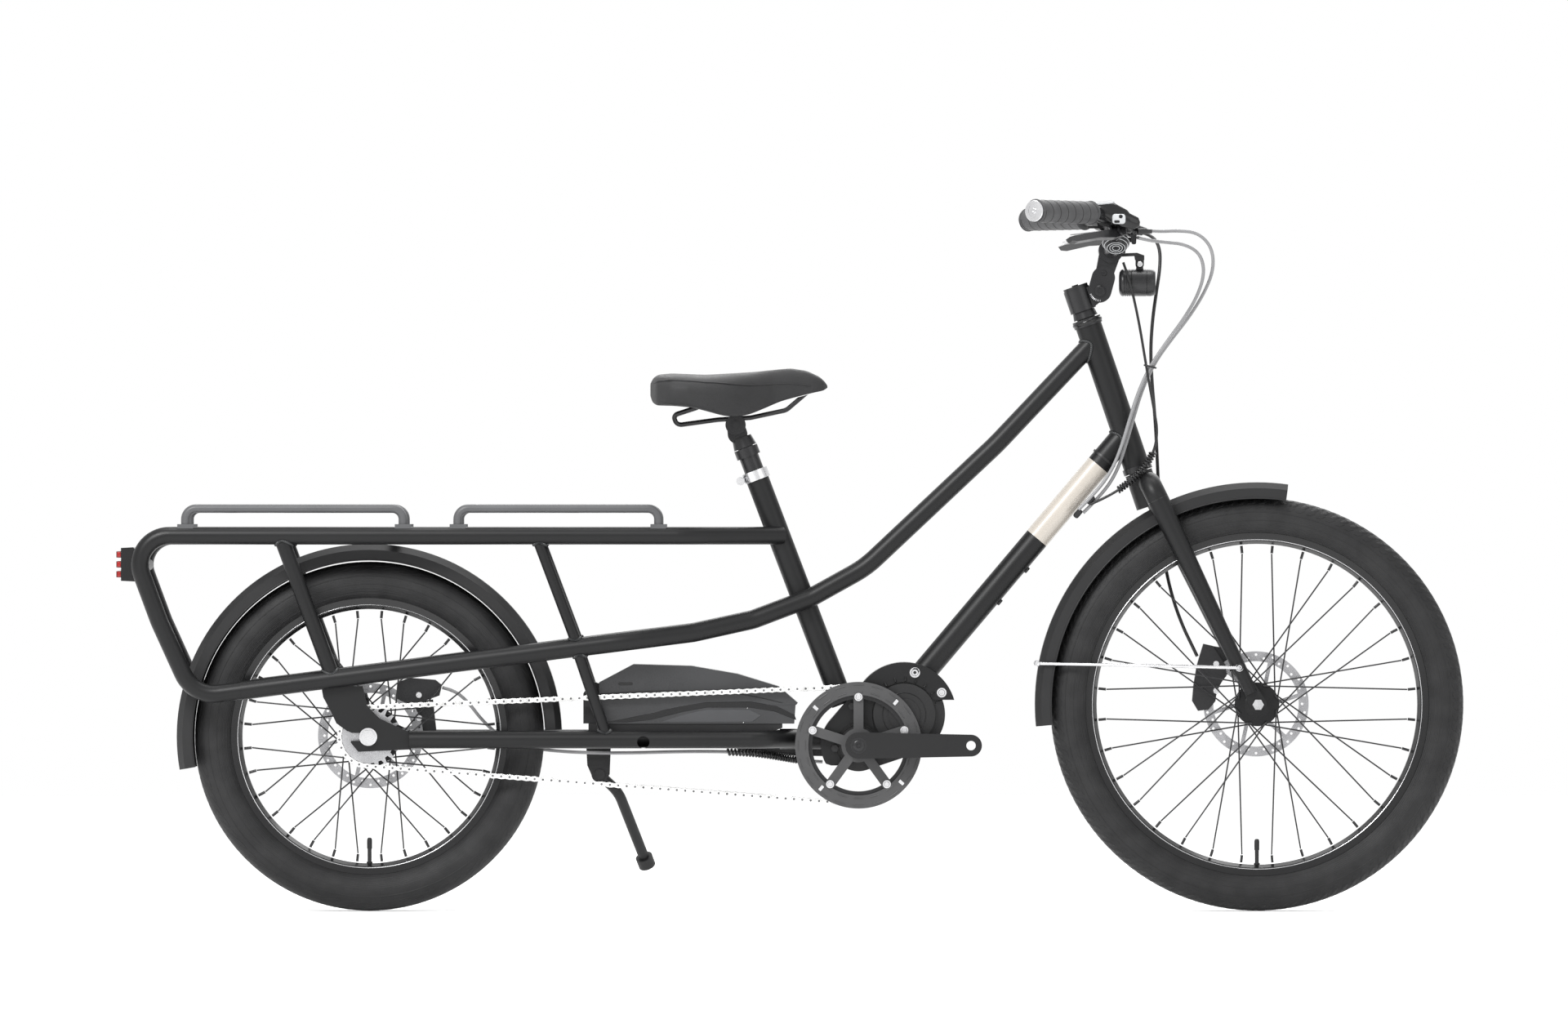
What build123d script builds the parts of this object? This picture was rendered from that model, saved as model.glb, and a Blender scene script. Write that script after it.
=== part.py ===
from build123d import *
import os
from math import asin, atan2, cos, degrees, hypot, pi, radians, sin

# Long-tail electric cargo bicycle, millimetres.
# +X is forward, -Y is the drive (right) side, +Z is up.
# The origin is on the ground, under the middle of the bicycle.

os.makedirs("parts", exist_ok=True)

# ---------------------------------------------------------------- driving dimensions
FRONT_AXLE_X, FRONT_AXLE_Z = 708.4, 313.5
REAR_AXLE_X, REAR_AXLE_Z = -638.9, 265.0
CRANK_X, CRANK_Z = 103.2, 252.1
MOTOR_X, MOTOR_Z = 172.7, 298.5

FRONT_BEAD_R = 253.5
REAR_BEAD_R = 203.0
TYRE_HALF_WIDTH = 30.0
SPOKES_PER_FLANGE = 16
SPOKE_R = 1.15
DISC_R = 80.0

HEAD_ANGLE = 71.2
HEAD_BOTTOM_X, HEAD_BOTTOM_Z = 525.5, 674.9
HEAD_LENGTH = 225.3
HEAD_R, HEAD_BORE_R = 20.0, 17.0
STEERER_R = 14.3

SEAT_ANGLE = 69.2
SEAT_TUBE_R, SEAT_TUBE_BORE_R = 17.45, 15.05
SEAT_TUBE_LENGTH = 434.0
SEATPOST_R = 15.0

TWIN_R, TWIN_BORE_R = 14.25, 12.4
RAIL_R, RAIL_BORE_R = 13.5, 11.7
RACK_HALF_WIDTH = 80.0
RACK_Z = 569.5
STAY_R, STAY_BORE_R = 13.5, 11.7
STAY_Z = 260.8

CHAIN_Y = -47.0
CHAIN_PITCH = 12.7
RING_TEETH, COG_TEETH = 44, 22
CRANK_LENGTH = 170.0
PEDAL_THREAD_R = 7.14

REAR_HUB_HALF = 67.5
FRONT_HUB_HALF = 50.0
RUNNING = 0.05


# ---------------------------------------------------------------- drawing helpers
def side(sketch, y_low, y_high):
    """Extrude a sketch drawn in X and Z between two planes of constant Y."""
    return extrude(Plane.XZ.offset(-y_high) * sketch, amount=y_high - y_low)


def outline(points):
    """A closed face through points drawn in the plane."""
    return make_face(Polyline(*points, close=True))


def rod(start, end, radius, bore=0.0):
    """A straight round bar or pipe between two points."""
    axis = Vector(*end) - Vector(*start)
    section = Circle(radius) - Circle(bore) if bore else Circle(radius)
    return extrude(Plane(origin=Vector(*start), z_dir=axis) * section, amount=axis.length)


def taper(start, end, start_radius, end_radius):
    """A straight cone frustum between two points."""
    axis = Vector(*end) - Vector(*start)
    cone = Cone(start_radius, end_radius, axis.length, align=(Align.CENTER, Align.CENTER, Align.MIN))
    return Plane(origin=Vector(*start), z_dir=axis) * cone


def bent_tube(points, radii, radius, bore=0.0):
    """A round bar or pipe along straight runs joined by tangent arcs."""
    path = FilletPolyline(*points, radius=radii)
    section = Circle(radius) - Circle(bore) if bore else Circle(radius)
    return sweep(Plane(origin=path @ 0, z_dir=path % 0) * section, path=path)


def ring(x, z, outer, inner, y_low, y_high):
    """A washer or disc about an axis parallel to Y."""
    section = Circle(outer) - Circle(inner) if inner else Circle(outer)
    return side(Pos(x, z) * section, y_low, y_high)


def turned(x, z, profile, start=0.0, sweep_angle=360.0):
    """Turn a profile of (radius, y) points about an axis parallel to Y.

    start and sweep_angle are seen from the drive side, anticlockwise from forward.
    """
    solid = revolve(profile, Axis.Y, revolution_arc=sweep_angle)
    return Pos(x, 0, z) * (Rot(0, -(start + sweep_angle), 0) * solid)


def hexagon(x, z, across_flats, y_low, y_high, bore=0.0):
    """A hexagon nut or head whose axis is parallel to Y."""
    section = RegularPolygon(across_flats / 2, 6, major_radius=False)
    if bore:
        section = section - Circle(bore)
    return side(Pos(x, z) * section, y_low, y_high)


def capsule(x1, z1, x2, z2, r1, r2):
    """The face that wraps two circles and the tangents between them."""
    angle = atan2(z2 - z1, x2 - x1)
    lean = asin((r1 - r2) / hypot(x2 - x1, z2 - z1))
    upper = angle + pi / 2 - lean
    lower = angle - pi / 2 + lean
    web = outline([
        (x1 + r1 * cos(upper), z1 + r1 * sin(upper)),
        (x2 + r2 * cos(upper), z2 + r2 * sin(upper)),
        (x2 + r2 * cos(lower), z2 + r2 * sin(lower)),
        (x1 + r1 * cos(lower), z1 + r1 * sin(lower)),
    ])
    return web + Pos(x1, z1) * Circle(r1) + Pos(x2, z2) * Circle(r2)


def steer(along, forward=0.0, y=0.0):
    """A point by its height along the steering axis and its offset ahead of it."""
    a = radians(HEAD_ANGLE)
    x = HEAD_BOTTOM_X - along * cos(a) + forward * sin(a)
    z = HEAD_BOTTOM_Z + along * sin(a) + forward * cos(a)
    return (x, y, z)


def seat(along, forward=0.0, y=0.0):
    """A point by its height along the seat tube and its offset ahead of it."""
    a = radians(SEAT_ANGLE)
    x = CRANK_X - along * cos(a) + forward * sin(a)
    z = CRANK_Z + along * sin(a) + forward * cos(a)
    return (x, y, z)


def polar(x, z, radius, angle, y=0.0):
    """A point about an axis parallel to Y, the angle in degrees from forward."""
    return (x + radius * cos(radians(angle)), y, z + radius * sin(radians(angle)))


def unit(start, end):
    return (Vector(*end) - Vector(*start)).normalized()


def between(start, end, share):
    """The point a share of the way from one point to another."""
    return tuple(a + (b - a) * share for a, b in zip(start, end))


def left(shape):
    """The same part on the other side of the bicycle."""
    return mirror(shape, about=Plane.XZ)


def both(shape):
    return shape, left(shape)


def solids_of(*shapes):
    """Every solid of the shapes, as one flat list."""
    return [solid for shape in shapes for solid in shape.solids()]


def save(name, *shapes):
    """Write one sub-part as a STEP file."""
    found = solids_of(*shapes)
    part = found[0] if len(found) == 1 else Compound(found)
    export_step(part, f"parts/{name}.step")


# ---------------------------------------------------------------- frame tubes
def head_tube():
    return rod(steer(0), steer(HEAD_LENGTH), HEAD_R, HEAD_BORE_R)


def head_tube_envelope():
    return rod(steer(0), steer(HEAD_LENGTH), HEAD_R)


def seat_tube():
    return rod(seat(66), seat(SEAT_TUBE_LENGTH), SEAT_TUBE_R, SEAT_TUBE_BORE_R)


def seat_tube_envelope():
    return rod(seat(66), seat(SEAT_TUBE_LENGTH), SEAT_TUBE_R)


DOWN_TUBE_R, DOWN_TUBE_BORE_R = 18.75, 16.8
DOWN_TUBE_TOP = (506.9, 0, 722.4)
DOWN_TUBE_FOOT = (204.0, 0, 363.8)


def down_tube():
    tube = rod(DOWN_TUBE_TOP, DOWN_TUBE_FOOT, DOWN_TUBE_R, DOWN_TUBE_BORE_R)
    return tube - head_tube_envelope() - motor_bracket_envelope()


SEAT_BEND, REAR_OF_SEAT = (30.9, -31.5, 475.3), (-56.7, -42.0, 442.2)
RAIL_MIDDLE, RAIL_END = (-505.6, -RACK_HALF_WIDTH, 377.3), (-903.0, -RACK_HALF_WIDTH, 325.7)
TWIN_SPLIT = between(SEAT_BEND, REAR_OF_SEAT, 0.33)
LOOP_SPLIT = between(RAIL_MIDDLE, RAIL_END, 0.82)
TWIN_FRONT = [(462.0, -4.6, 866.1), (312.8, -21.5, 708.4), (114.4, -25.0, 521.8), SEAT_BEND, TWIN_SPLIT]
TWIN_REAR = [
    TWIN_SPLIT, REAR_OF_SEAT, (-146.4, -58.0, 422.6), (-250.0, -79.0, 409.5), RAIL_MIDDLE, LOOP_SPLIT,
]


def twin_tube_right():
    """The front ends lean together, so each is cut where it meets the other."""
    tube = bent_tube(TWIN_FRONT, [300, 160, 60], TWIN_R, TWIN_BORE_R)
    past_middle = Pos(400.0, 50.0, 800.0) * Box(400.0, 100.0, 400.0)
    tube = tube - past_middle - head_tube_envelope() - seat_tube_envelope()
    return max(tube.solids(), key=lambda solid: solid.volume)


def lower_rail_right():
    tube = bent_tube(TWIN_REAR, [60, 90, 200, 260], TWIN_R, TWIN_BORE_R)
    return tube - seat_tube_envelope()


REAR_LOOP = [
    LOOP_SPLIT, RAIL_END, (-955.0, -RACK_HALF_WIDTH, 440.0),
    (-1003.0, -RACK_HALF_WIDTH, RACK_Z), (-900.0, -RACK_HALF_WIDTH, RACK_Z),
]


def rear_loop_right():
    return bent_tube(REAR_LOOP, [52, 120, 44], RAIL_R, RAIL_BORE_R)


def rack_rail_right():
    rail = bent_tube(
        [(-900.0, -RACK_HALF_WIDTH, RACK_Z), (-150.0, -RACK_HALF_WIDTH, RACK_Z), (-12.0, -12.0, RACK_Z)],
        [90], RAIL_R, RAIL_BORE_R,
    )
    return rail - seat_tube_envelope()


RACK_CROSS_X = (-850.0, -598.0, -330.0)
LIGHT_BAR = (-981.0, 525.0)
BATTERY_BRIDGE_X = (-262.0, -60.0)


def rack_envelopes():
    """The solid outer shapes of the rails, for coping the tubes that meet them."""
    twin = bent_tube(TWIN_REAR, [60, 90, 200, 260], TWIN_R)
    loop = bent_tube(REAR_LOOP, [52, 120, 44], RAIL_R)
    rail = rod((-900.0, -RACK_HALF_WIDTH, RACK_Z), (-160.0, -RACK_HALF_WIDTH, RACK_Z), RAIL_R)
    stay = chainstay_envelope()
    right = [twin, loop, rail, stay]
    return right + [left(shape) for shape in right]


def coped(tube, envelopes):
    for envelope in envelopes:
        tube = tube - envelope
    return max(tube.solids(), key=lambda solid: solid.volume)


def rack_cross_tubes(envelopes):
    half = RACK_HALF_WIDTH
    tubes = [rod((x, -half, RACK_Z), (x, half, RACK_Z), 9.5, 8.0) for x in RACK_CROSS_X]
    light_x, light_z = LIGHT_BAR
    tubes.append(rod((light_x, -half, light_z), (light_x, half, light_z), 11.0, 9.4))
    tubes.append(rod((-215.0, -74, 413.0), (-215.0, 74, 413.0), 9.5, 8.0))
    return [coped(tube, envelopes) for tube in tubes]


def rack_struts(envelopes):
    half = RACK_HALF_WIDTH
    rear = rod((-769.0, -half, 563.0), (-691.0, -half, 352.0), 11.5, 10.0)
    upper = rod((-383.0, -half, 566.0), (-322.0, -half, 404.0), 8.5, 7.0)
    lower = rod((-320.5, -half, 391.6), (-277.0, -66.5, 262.0), 8.5, 7.0)
    right = [coped(strut, envelopes) for strut in (rear, upper, lower)]
    return right + [left(strut) for strut in right]


STAY_POINTS = [(-577.0, -71.0, STAY_Z), (-120.0, -63.5, STAY_Z), (-44.0, -62.0, STAY_Z), (16.0, -2.0, STAY_Z)]


def chainstay_envelope():
    return bent_tube(STAY_POINTS, [60, 36], STAY_R)


def chainstay_right():
    stay = bent_tube(STAY_POINTS, [60, 36], STAY_R, STAY_BORE_R)
    hole = rod((-222.5, -90, STAY_Z - 4), (-222.5, -60, STAY_Z - 4), 9.3)
    return max((stay - stay_yoke_envelope() - hole).solids(), key=lambda solid: solid.volume)


def chainstay_left():
    stay = bent_tube(STAY_POINTS, [60, 36], STAY_R, STAY_BORE_R)
    return left(max((stay - stay_yoke_envelope()).solids(), key=lambda solid: solid.volume))


def stay_yoke_envelope():
    return rod((-16.0, 0, STAY_Z), (48.0, 0, STAY_Z), 15.5)


def stay_yoke():
    """The short tube that gathers both chainstays behind the motor."""
    yoke = rod((-16.0, 0, STAY_Z), (60.0, 0, STAY_Z), 15.5, 12.5)
    return yoke - motor_bracket_envelope()


def battery_bridges(envelopes):
    """Two cross tubes between the chainstays that carry the battery tray."""
    tubes = [rod((x, -64, 257.0), (x, 64, 257.0), 7.0, 5.6) for x in BATTERY_BRIDGE_X[:1]]
    return [coped(tube, envelopes) for tube in tubes]


DROPOUT_POINTS = [
    (-710.0, 342.0), (-707.0, 325.0), (-696.0, 304.5), (-687.0, 285.5), (-671.0, 274.0), (-665.0, 272.0),
    (-665.0, 256.0), (-654.0, 242.5), (-574.0, 246.0), (-574.0, 271.0), (-590.0, 278.0), (-622.0, 293.0),
    (-640.5, 312.0), (-647.5, 342.0),
]


def dropout_right(envelopes):
    plate = side(outline(DROPOUT_POINTS), -74.5, -REAR_HUB_HALF)
    slot = side(Pos(REAR_AXLE_X - 12, REAR_AXLE_Z) * SlotOverall(44, 12.1), -80, -60)
    plate = plate - slot
    return coped(plate, envelopes)


def tensioner(plate_y):
    """The chain tensioner screw in the open end of the dropout slot."""
    return rod((-672.0, plate_y, REAR_AXLE_Z), (-646.0, plate_y, REAR_AXLE_Z), 2.5)


# ---------------------------------------------------------------- motor and its bracket
def motor_outline(grow=0.0):
    return capsule(MOTOR_X, MOTOR_Z, CRANK_X, CRANK_Z, 62.0 + grow, 40.0 + grow)


def bracket_region():
    """Above and behind the line that the motor hangs out of."""
    return outline([(260.0, 320.5), (231.0, 320.5), (172.0, 322.0), (110.0, 262.0), (88.0, 221.0),
                    (62.0, 221.0),
                    (20.0, 235.0), (20.0, 420.0), (260.0, 420.0)])


def motor_bracket_envelope():
    return side(motor_outline(17.0) & bracket_region(), -36.0, 36.0)


def motor_bracket():
    """A cast cradle: a web over the motor and a cheek on each side of it."""
    web = side((motor_outline(17.0) - motor_outline(0.6)) & bracket_region(), -30.0, 30.0)
    open_area = Pos(MOTOR_X, MOTOR_Z) * Circle(49.0) + Pos(CRANK_X, CRANK_Z) * Circle(34.0)
    cheek = (motor_outline(17.0) - open_area) & bracket_region()
    right = side(cheek, -36.0, -30.0)
    bracket = web + right + left(right)
    return bracket - seat_tube_envelope() - rod(seat(20), seat(66), SEAT_TUBE_R)


def motor_housing():
    body = side(motor_outline() - Pos(CRANK_X, CRANK_Z) * Circle(20.0), -29.0, 29.0)
    nose = ring(CRANK_X, CRANK_Z, 28.5, 20.0, -41.0, 41.0)
    return body + nose


def motor_cover():
    """The round cover on each side, standing in the cheek's opening."""
    cap = ring(MOTOR_X, MOTOR_Z, 47.0, 0, -40.0, -29.0)
    keep_off = ring(CRANK_X, CRANK_Z, 34.0, 0, -45.0, -20.0)
    right = cap - keep_off
    return right, left(right)


def motor_rotor_cap():
    """The darker round cap in the middle of the motor's cover."""
    right = ring(MOTOR_X, MOTOR_Z, 24.0, 0, -43.0, -40.0)
    return right, left(right)


MOTOR_BOLTS = ((189.7, 363.5), (93.5, 311.0), (67.3, 247.0))


def motor_bolts():
    right = [hexagon(x, z, 10.0, -41.0, -36.0) for x, z in MOTOR_BOLTS]
    return right + [left(bolt) for bolt in right]


def crank_bearings():
    right = ring(CRANK_X, CRANK_Z, 20.0, 11.0 + RUNNING, -39.0, -27.0)
    return right, left(right)


# ---------------------------------------------------------------- crank set (turns)
def crank_spindle():
    return rod((CRANK_X, -93.0, CRANK_Z), (CRANK_X, 93.0, CRANK_Z), 11.0)


def crank_arm(direction):
    """Arm on the drive side; direction +1 points forward, -1 back."""
    end_x = CRANK_X + direction * CRANK_LENGTH
    arm = side(capsule(CRANK_X, CRANK_Z, end_x, CRANK_Z, 20.0, 16.5), -94.0, -80.0)
    boss = ring(CRANK_X, CRANK_Z, 19.0, 0, -80.0, CHAIN_Y - 6.2)
    hole = ring(end_x, CRANK_Z, PEDAL_THREAD_R, 0, -95.0, -79.0)
    seat_hole = ring(CRANK_X, CRANK_Z, 11.0, 0, -93.0, -50.0)
    return arm + boss - hole - seat_hole


def tooth_outline(teeth, tip, root):
    """A closed outline with one trapezoid tooth for each pitch."""
    points = []
    for tooth in range(teeth):
        for share, radius in ((-0.30, root), (-0.12, tip), (0.12, tip), (0.30, root)):
            angle = 2 * pi * (tooth + 0.5 + share) / teeth
            points.append((radius * cos(angle), radius * sin(angle)))
    return outline(points)


def pitch_radius(teeth):
    return CHAIN_PITCH / (2 * sin(pi / teeth))


def chainring():
    pitch = pitch_radius(RING_TEETH)
    face = tooth_outline(RING_TEETH, pitch + 4.0, pitch - 4.2) - Circle(70.0)
    return side(Pos(CRANK_X, CRANK_Z) * face, CHAIN_Y - 1.2, CHAIN_Y + 1.2)


def chainring_spider():
    hub = Circle(26.0)
    for arm in range(5):
        hub = hub + Rot(0, 0, 18 + 72 * arm) * (Pos(50.0, 0) * Rectangle(56.0, 15.0))
    face = (hub & Circle(78.0)) - Circle(11.0)
    return side(Pos(CRANK_X, CRANK_Z) * face, CHAIN_Y - 6.2, CHAIN_Y - 1.2)


def chainring_guard():
    guard = ring(CRANK_X, CRANK_Z, 96.0, 76.0, CHAIN_Y - 9.4, CHAIN_Y - 6.2)
    return guard


def rear_cog():
    pitch = pitch_radius(COG_TEETH)
    face = tooth_outline(COG_TEETH, pitch + 4.0, pitch - 4.2) - Circle(25.0)
    return side(Pos(REAR_AXLE_X, REAR_AXLE_Z) * face, CHAIN_Y - 1.2, CHAIN_Y + 1.2)


def cog_driver():
    inner = 6.0 + RUNNING
    body = ring(REAR_AXLE_X, REAR_AXLE_Z, 25.0, inner, CHAIN_Y - 6.0, -39.0)
    return body


# ---------------------------------------------------------------- chain
PLATE_HALF = 4.25
PLATE_INNER, PLATE_OUTER = 2.0, 3.3
ROLLER_CLEAR_OF_TEETH = 46.0


def chain_tangents():
    """Ends of the upper and lower runs, each tangent to both pitch circles."""
    ring_r, cog_r = pitch_radius(RING_TEETH), pitch_radius(COG_TEETH)
    gap = hypot(CRANK_X - REAR_AXLE_X, CRANK_Z - REAR_AXLE_Z)
    slope = atan2(CRANK_Z - REAR_AXLE_Z, CRANK_X - REAR_AXLE_X)
    spread = asin((ring_r - cog_r) / gap)
    runs = []
    for sign in (1, -1):
        normal = slope + sign * (pi / 2 + spread)
        cog = (REAR_AXLE_X + cog_r * cos(normal), REAR_AXLE_Z + cog_r * sin(normal))
        front = (CRANK_X + ring_r * cos(normal), CRANK_Z + ring_r * sin(normal))
        runs.append((cog, front, degrees(normal)))
    return runs


def chain_run(start, end):
    """A straight run: two rows of side plates with the pins between them."""
    length = hypot(end[0] - start[0], end[1] - start[1])
    angle = degrees(atan2(end[1] - start[1], end[0] - start[0]))
    middle = ((start[0] + end[0]) / 2, (start[1] + end[1]) / 2)
    strip = Pos(*middle) * (Rot(0, 0, angle) * Rectangle(length, 2 * PLATE_HALF))
    near = side(strip, CHAIN_Y - PLATE_OUTER, CHAIN_Y - PLATE_INNER)
    far = side(strip, CHAIN_Y + PLATE_INNER, CHAIN_Y + PLATE_OUTER)
    run = near + far
    count = int((length - 2 * ROLLER_CLEAR_OF_TEETH) / (2 * CHAIN_PITCH))
    for number in range(count + 1):
        along = ROLLER_CLEAR_OF_TEETH + (length - 2 * ROLLER_CLEAR_OF_TEETH) * number / count
        x = start[0] + (end[0] - start[0]) * along / length
        z = start[1] + (end[1] - start[1]) * along / length
        run = run + ring(x, z, 3.8, 0, CHAIN_Y - PLATE_INNER, CHAIN_Y + PLATE_INNER)
    return run


def chain_wrap(x, z, pitch, start, sweep_angle):
    """The side plates of the chain where it lies round a toothed wheel."""
    plates = []
    for y in (CHAIN_Y - PLATE_OUTER, CHAIN_Y + PLATE_INNER):
        low, high = y, y + PLATE_OUTER - PLATE_INNER
        profile = outline([
            (pitch - PLATE_HALF, low), (pitch + PLATE_HALF, low),
            (pitch + PLATE_HALF, high), (pitch - PLATE_HALF, high),
        ])
        plates.append(turned(x, z, profile, start, sweep_angle))
    return plates


def chain():
    (upper_cog, upper_ring, upper_normal), (lower_cog, lower_ring, lower_normal) = chain_tangents()
    wrap_front = upper_normal - lower_normal
    pieces = [chain_run(upper_cog, upper_ring), chain_run(lower_cog, lower_ring)]
    pieces += chain_wrap(CRANK_X, CRANK_Z, pitch_radius(RING_TEETH), lower_normal, wrap_front)
    pieces += chain_wrap(REAR_AXLE_X, REAR_AXLE_Z, pitch_radius(COG_TEETH), upper_normal, 360 - wrap_front)
    return pieces


# ---------------------------------------------------------------- wheels (turn)
def rim(x, z, bead):
    half = [(bead - 10, 0), (bead - 10, 7), (bead - 5.5, 16), (bead + 7, 17.2), (bead + 7, 15.2),
            (bead + 0.3, 15.2), (bead + 0.3, 10), (bead - 4, 7), (bead - 4, 0)]
    other = [(r, -y) for r, y in reversed(half[1:-1])]
    return turned(x, z, outline(half + other))


def tyre_section(bead, height):
    """Half widths and radii that the tyre and its inner tube share."""
    outer = TYRE_HALF_WIDTH + 0.5
    centre = bead + height - outer
    return centre, outer


def tyre(x, z, bead, height):
    centre, outer = tyre_section(bead, height)
    seat_r, shoulder_r = bead + 0.5, bead + 7.3
    inside_rim = Pos((seat_r + shoulder_r) / 2 - 10, 0) * Rectangle(shoulder_r - seat_r + 20, 90.0)
    feet = Pos((seat_r + bead + 12) / 2, 0) * Rectangle(bead + 12 - seat_r, 30.0)
    cavity = Pos(centre, 0) * Circle(outer - 4.2) + Pos((bead + centre) / 2 - 2,
            0) * Rectangle(centre - bead + 4, 24.0)
    section = ((Pos(centre, 0) * Circle(outer) - inside_rim) + feet) - cavity
    return turned(x, z, section)


def inner_tube(x, z, bead, height):
    centre, outer = tyre_section(bead, height)
    section = Pos(centre + 1.5, 0) * (Circle(outer - 6.5) - Circle(outer - 7.6))
    return turned(x, z, section)


def valve(x, z, bead):
    return rod((x, 0, z - bead + 11.5), (x, 0, z - bead + 46.0), 3.2)


def laced_spokes(x, z, flange_r, flanges, crossing, spoke_end_r, first_angle):
    """Spokes crossing their neighbours; flanges is ((y, half thickness, y at the rim, phase), ...)."""
    pitch_angle = 360.0 / SPOKES_PER_FLANGE
    spokes = []
    for flange_y, half_thickness, rim_y, phase in flanges:
        outward = 1 if flange_y > 0 else -1
        for number in range(SPOKES_PER_FLANGE):
            rim_angle = first_angle + (number + phase) * pitch_angle
            leading = 1 if number % 2 == 0 else -1
            hub_angle = rim_angle + leading * crossing * pitch_angle
            stand_off = half_thickness + SPOKE_R + (2.4 if leading > 0 else 0.2)
            start = polar(x, z, flange_r, hub_angle, flange_y + outward * leading * stand_off)
            end = polar(x, z, spoke_end_r, rim_angle, rim_y)
            spokes.append(rod(start, end, SPOKE_R))
    return spokes


def nipples(x, z, flange_r, flanges, crossing, spoke_end_r, first_angle):
    """The brass nuts that join each spoke to the rim, in line with the spoke."""
    pitch_angle = 360.0 / SPOKES_PER_FLANGE
    found = []
    for _, _, rim_y, phase in flanges:
        for number in range(SPOKES_PER_FLANGE):
            angle = first_angle + (number + phase) * pitch_angle
            start = polar(x, z, spoke_end_r + 0.8, angle, rim_y)
            end = polar(x, z, spoke_end_r + 12.2, angle, rim_y)
            found.append(rod(start, end, 2.1))
    return found


def brake_disc(x, z, y_low, y_high, mount_r):
    """A steel disc with a slotted braking band and six curved arms."""
    band = Circle(DISC_R) - Circle(DISC_R - 15.0)
    hub = Circle(mount_r) - Circle(mount_r - 8.0)
    arms = Sketch()
    for arm in range(6):
        swept = Rot(0, 0, 60 * arm) * (Pos(mount_r + 20.0, 6.0) * (Rot(0, 0, 18) * Rectangle(52.0, 6.0)))
        arms = arms + (swept & (Circle(DISC_R - 10.0) - Circle(mount_r - 4.0)))
    holes = Sketch()
    for number in range(36):
        angle = radians(10 * number)
        radius = DISC_R - (5.0 if number % 2 else 10.0)
        holes = holes + Pos(radius * cos(angle), radius * sin(angle)) * Circle(2.0)
    return side(Pos(x, z) * ((band + hub + arms) - holes), y_low, y_high)


FRONT_FLANGES = ((-31.0, 1.8, -2.6, 0.0), (21.0, 1.8, 2.6, 0.5))
REAR_FLANGES = ((-28.0, 1.8, -2.6, 0.0), (28.0, 1.8, 2.6, 0.5))


def front_hub():
    profile = outline([
        (5.0 + RUNNING, -46.0), (12.0, -46.0), (12.0, -38.0), (20.0, -34.0), (33.0, -32.8), (33.0, -29.2),
        (22.0, -29.0),
        (17.0, -24.0), (17.0, 14.0), (22.0, 19.0), (33.0, 19.2), (33.0, 22.8), (23.0, 25.0), (23.0, 38.0),
        (12.0, 38.0), (12.0, 46.0),
        (5.0 + RUNNING, 46.0),
    ])
    return turned(FRONT_AXLE_X, FRONT_AXLE_Z, profile)


def rear_hub():
    profile = outline([
        (6.0 + RUNNING, -38.6), (26.0, -38.6), (30.0, -31.0), (46.5, -29.8), (46.5, -26.2), (41.2, -26.0),
        (40.0, -22.0), (40.0, 22.0), (41.2, 26.0),
        (46.5, 26.2), (46.5, 29.8), (30.0, 34.0), (23.0, 38.0), (23.0, 51.0), (13.0, 51.0), (13.0, 59.0),
        (6.0 + RUNNING, 59.0),
    ])
    return turned(REAR_AXLE_X, REAR_AXLE_Z, profile)


def axle(x, z, radius, half):
    return rod((x, -half, z), (x, half, z), radius)


def axle_washers():
    near = ring(REAR_AXLE_X, REAR_AXLE_Z, 13.5, 6.0, -76.5, -74.5)
    return near, left(near)


def axle_nuts(x, z, across_flats, y_low, y_high, bore):
    near = hexagon(x, z, across_flats, -y_high, -y_low, bore)
    return near, left(near)


# ---------------------------------------------------------------- fenders
def gutter(outer_r, lip_r, half_width, thickness=2.2):
    """A fender's section as (radius, y): a flat crown with sloping sides."""
    outer = [(lip_r, half_width), (outer_r - 9, half_width - 1), (outer_r, half_width - 14)]
    inner = [(outer_r - thickness, half_width - 15), (outer_r - 10.5, half_width - thickness - 1.4),
             (lip_r, half_width - thickness)]
    near_outer = [(r, -y) for r, y in reversed(outer)]
    near_inner = [(r, -y) for r, y in reversed(inner)]
    return outline(outer + near_outer + near_inner + inner)


FRONT_FENDER_R, FRONT_LIP_R, FRONT_FENDER_HALF = 337.0, 312.0, 34.0
REAR_FENDER_R, REAR_LIP_R, REAR_FENDER_HALF = 292.0, 267.0, 35.0


def front_fender():
    profile = gutter(FRONT_FENDER_R, FRONT_LIP_R, FRONT_FENDER_HALF)
    return turned(FRONT_AXLE_X, FRONT_AXLE_Z, profile, 82.0, 103.7)


def rear_fender():
    profile = gutter(REAR_FENDER_R, REAR_LIP_R, REAR_FENDER_HALF)
    return turned(REAR_AXLE_X, REAR_AXLE_Z, profile, 2.0, 188.0)


def front_fender_stays():
    """A wire each side, from the fender's rear edge to an eyelet on the fork."""
    start = (374.5, -36.5, 375.5)
    middle = (560.0, -58.0, 372.5)
    end = (676.0, -68.0, 369.5)
    wire = bent_tube([start, middle, end], [400], 2.0)
    eyelet = ring(680.5, 371.0, 5.5, 0, -70.0, -66.0)
    eyelet = eyelet - wire - fork_leg_right()
    wire = wire - fork_leg_right()
    return [wire, left(wire), eyelet, left(eyelet)]


def rear_fender_brackets():
    """Tabs that hang the rear fender from the rack and the lower cross tube."""
    top = side(outline([(-606.0, 557.5), (-590.0, 557.5), (-590.0, 562.0), (-606.0, 562.0)]), -14.0, 14.0)
    fender = ring(REAR_AXLE_X, REAR_AXLE_Z, REAR_FENDER_R, 0, -40.0, 40.0)
    cross = rod((-598.0, -40, RACK_Z), (-598.0, 40, RACK_Z), 9.5)
    return [top - fender - cross]


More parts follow.
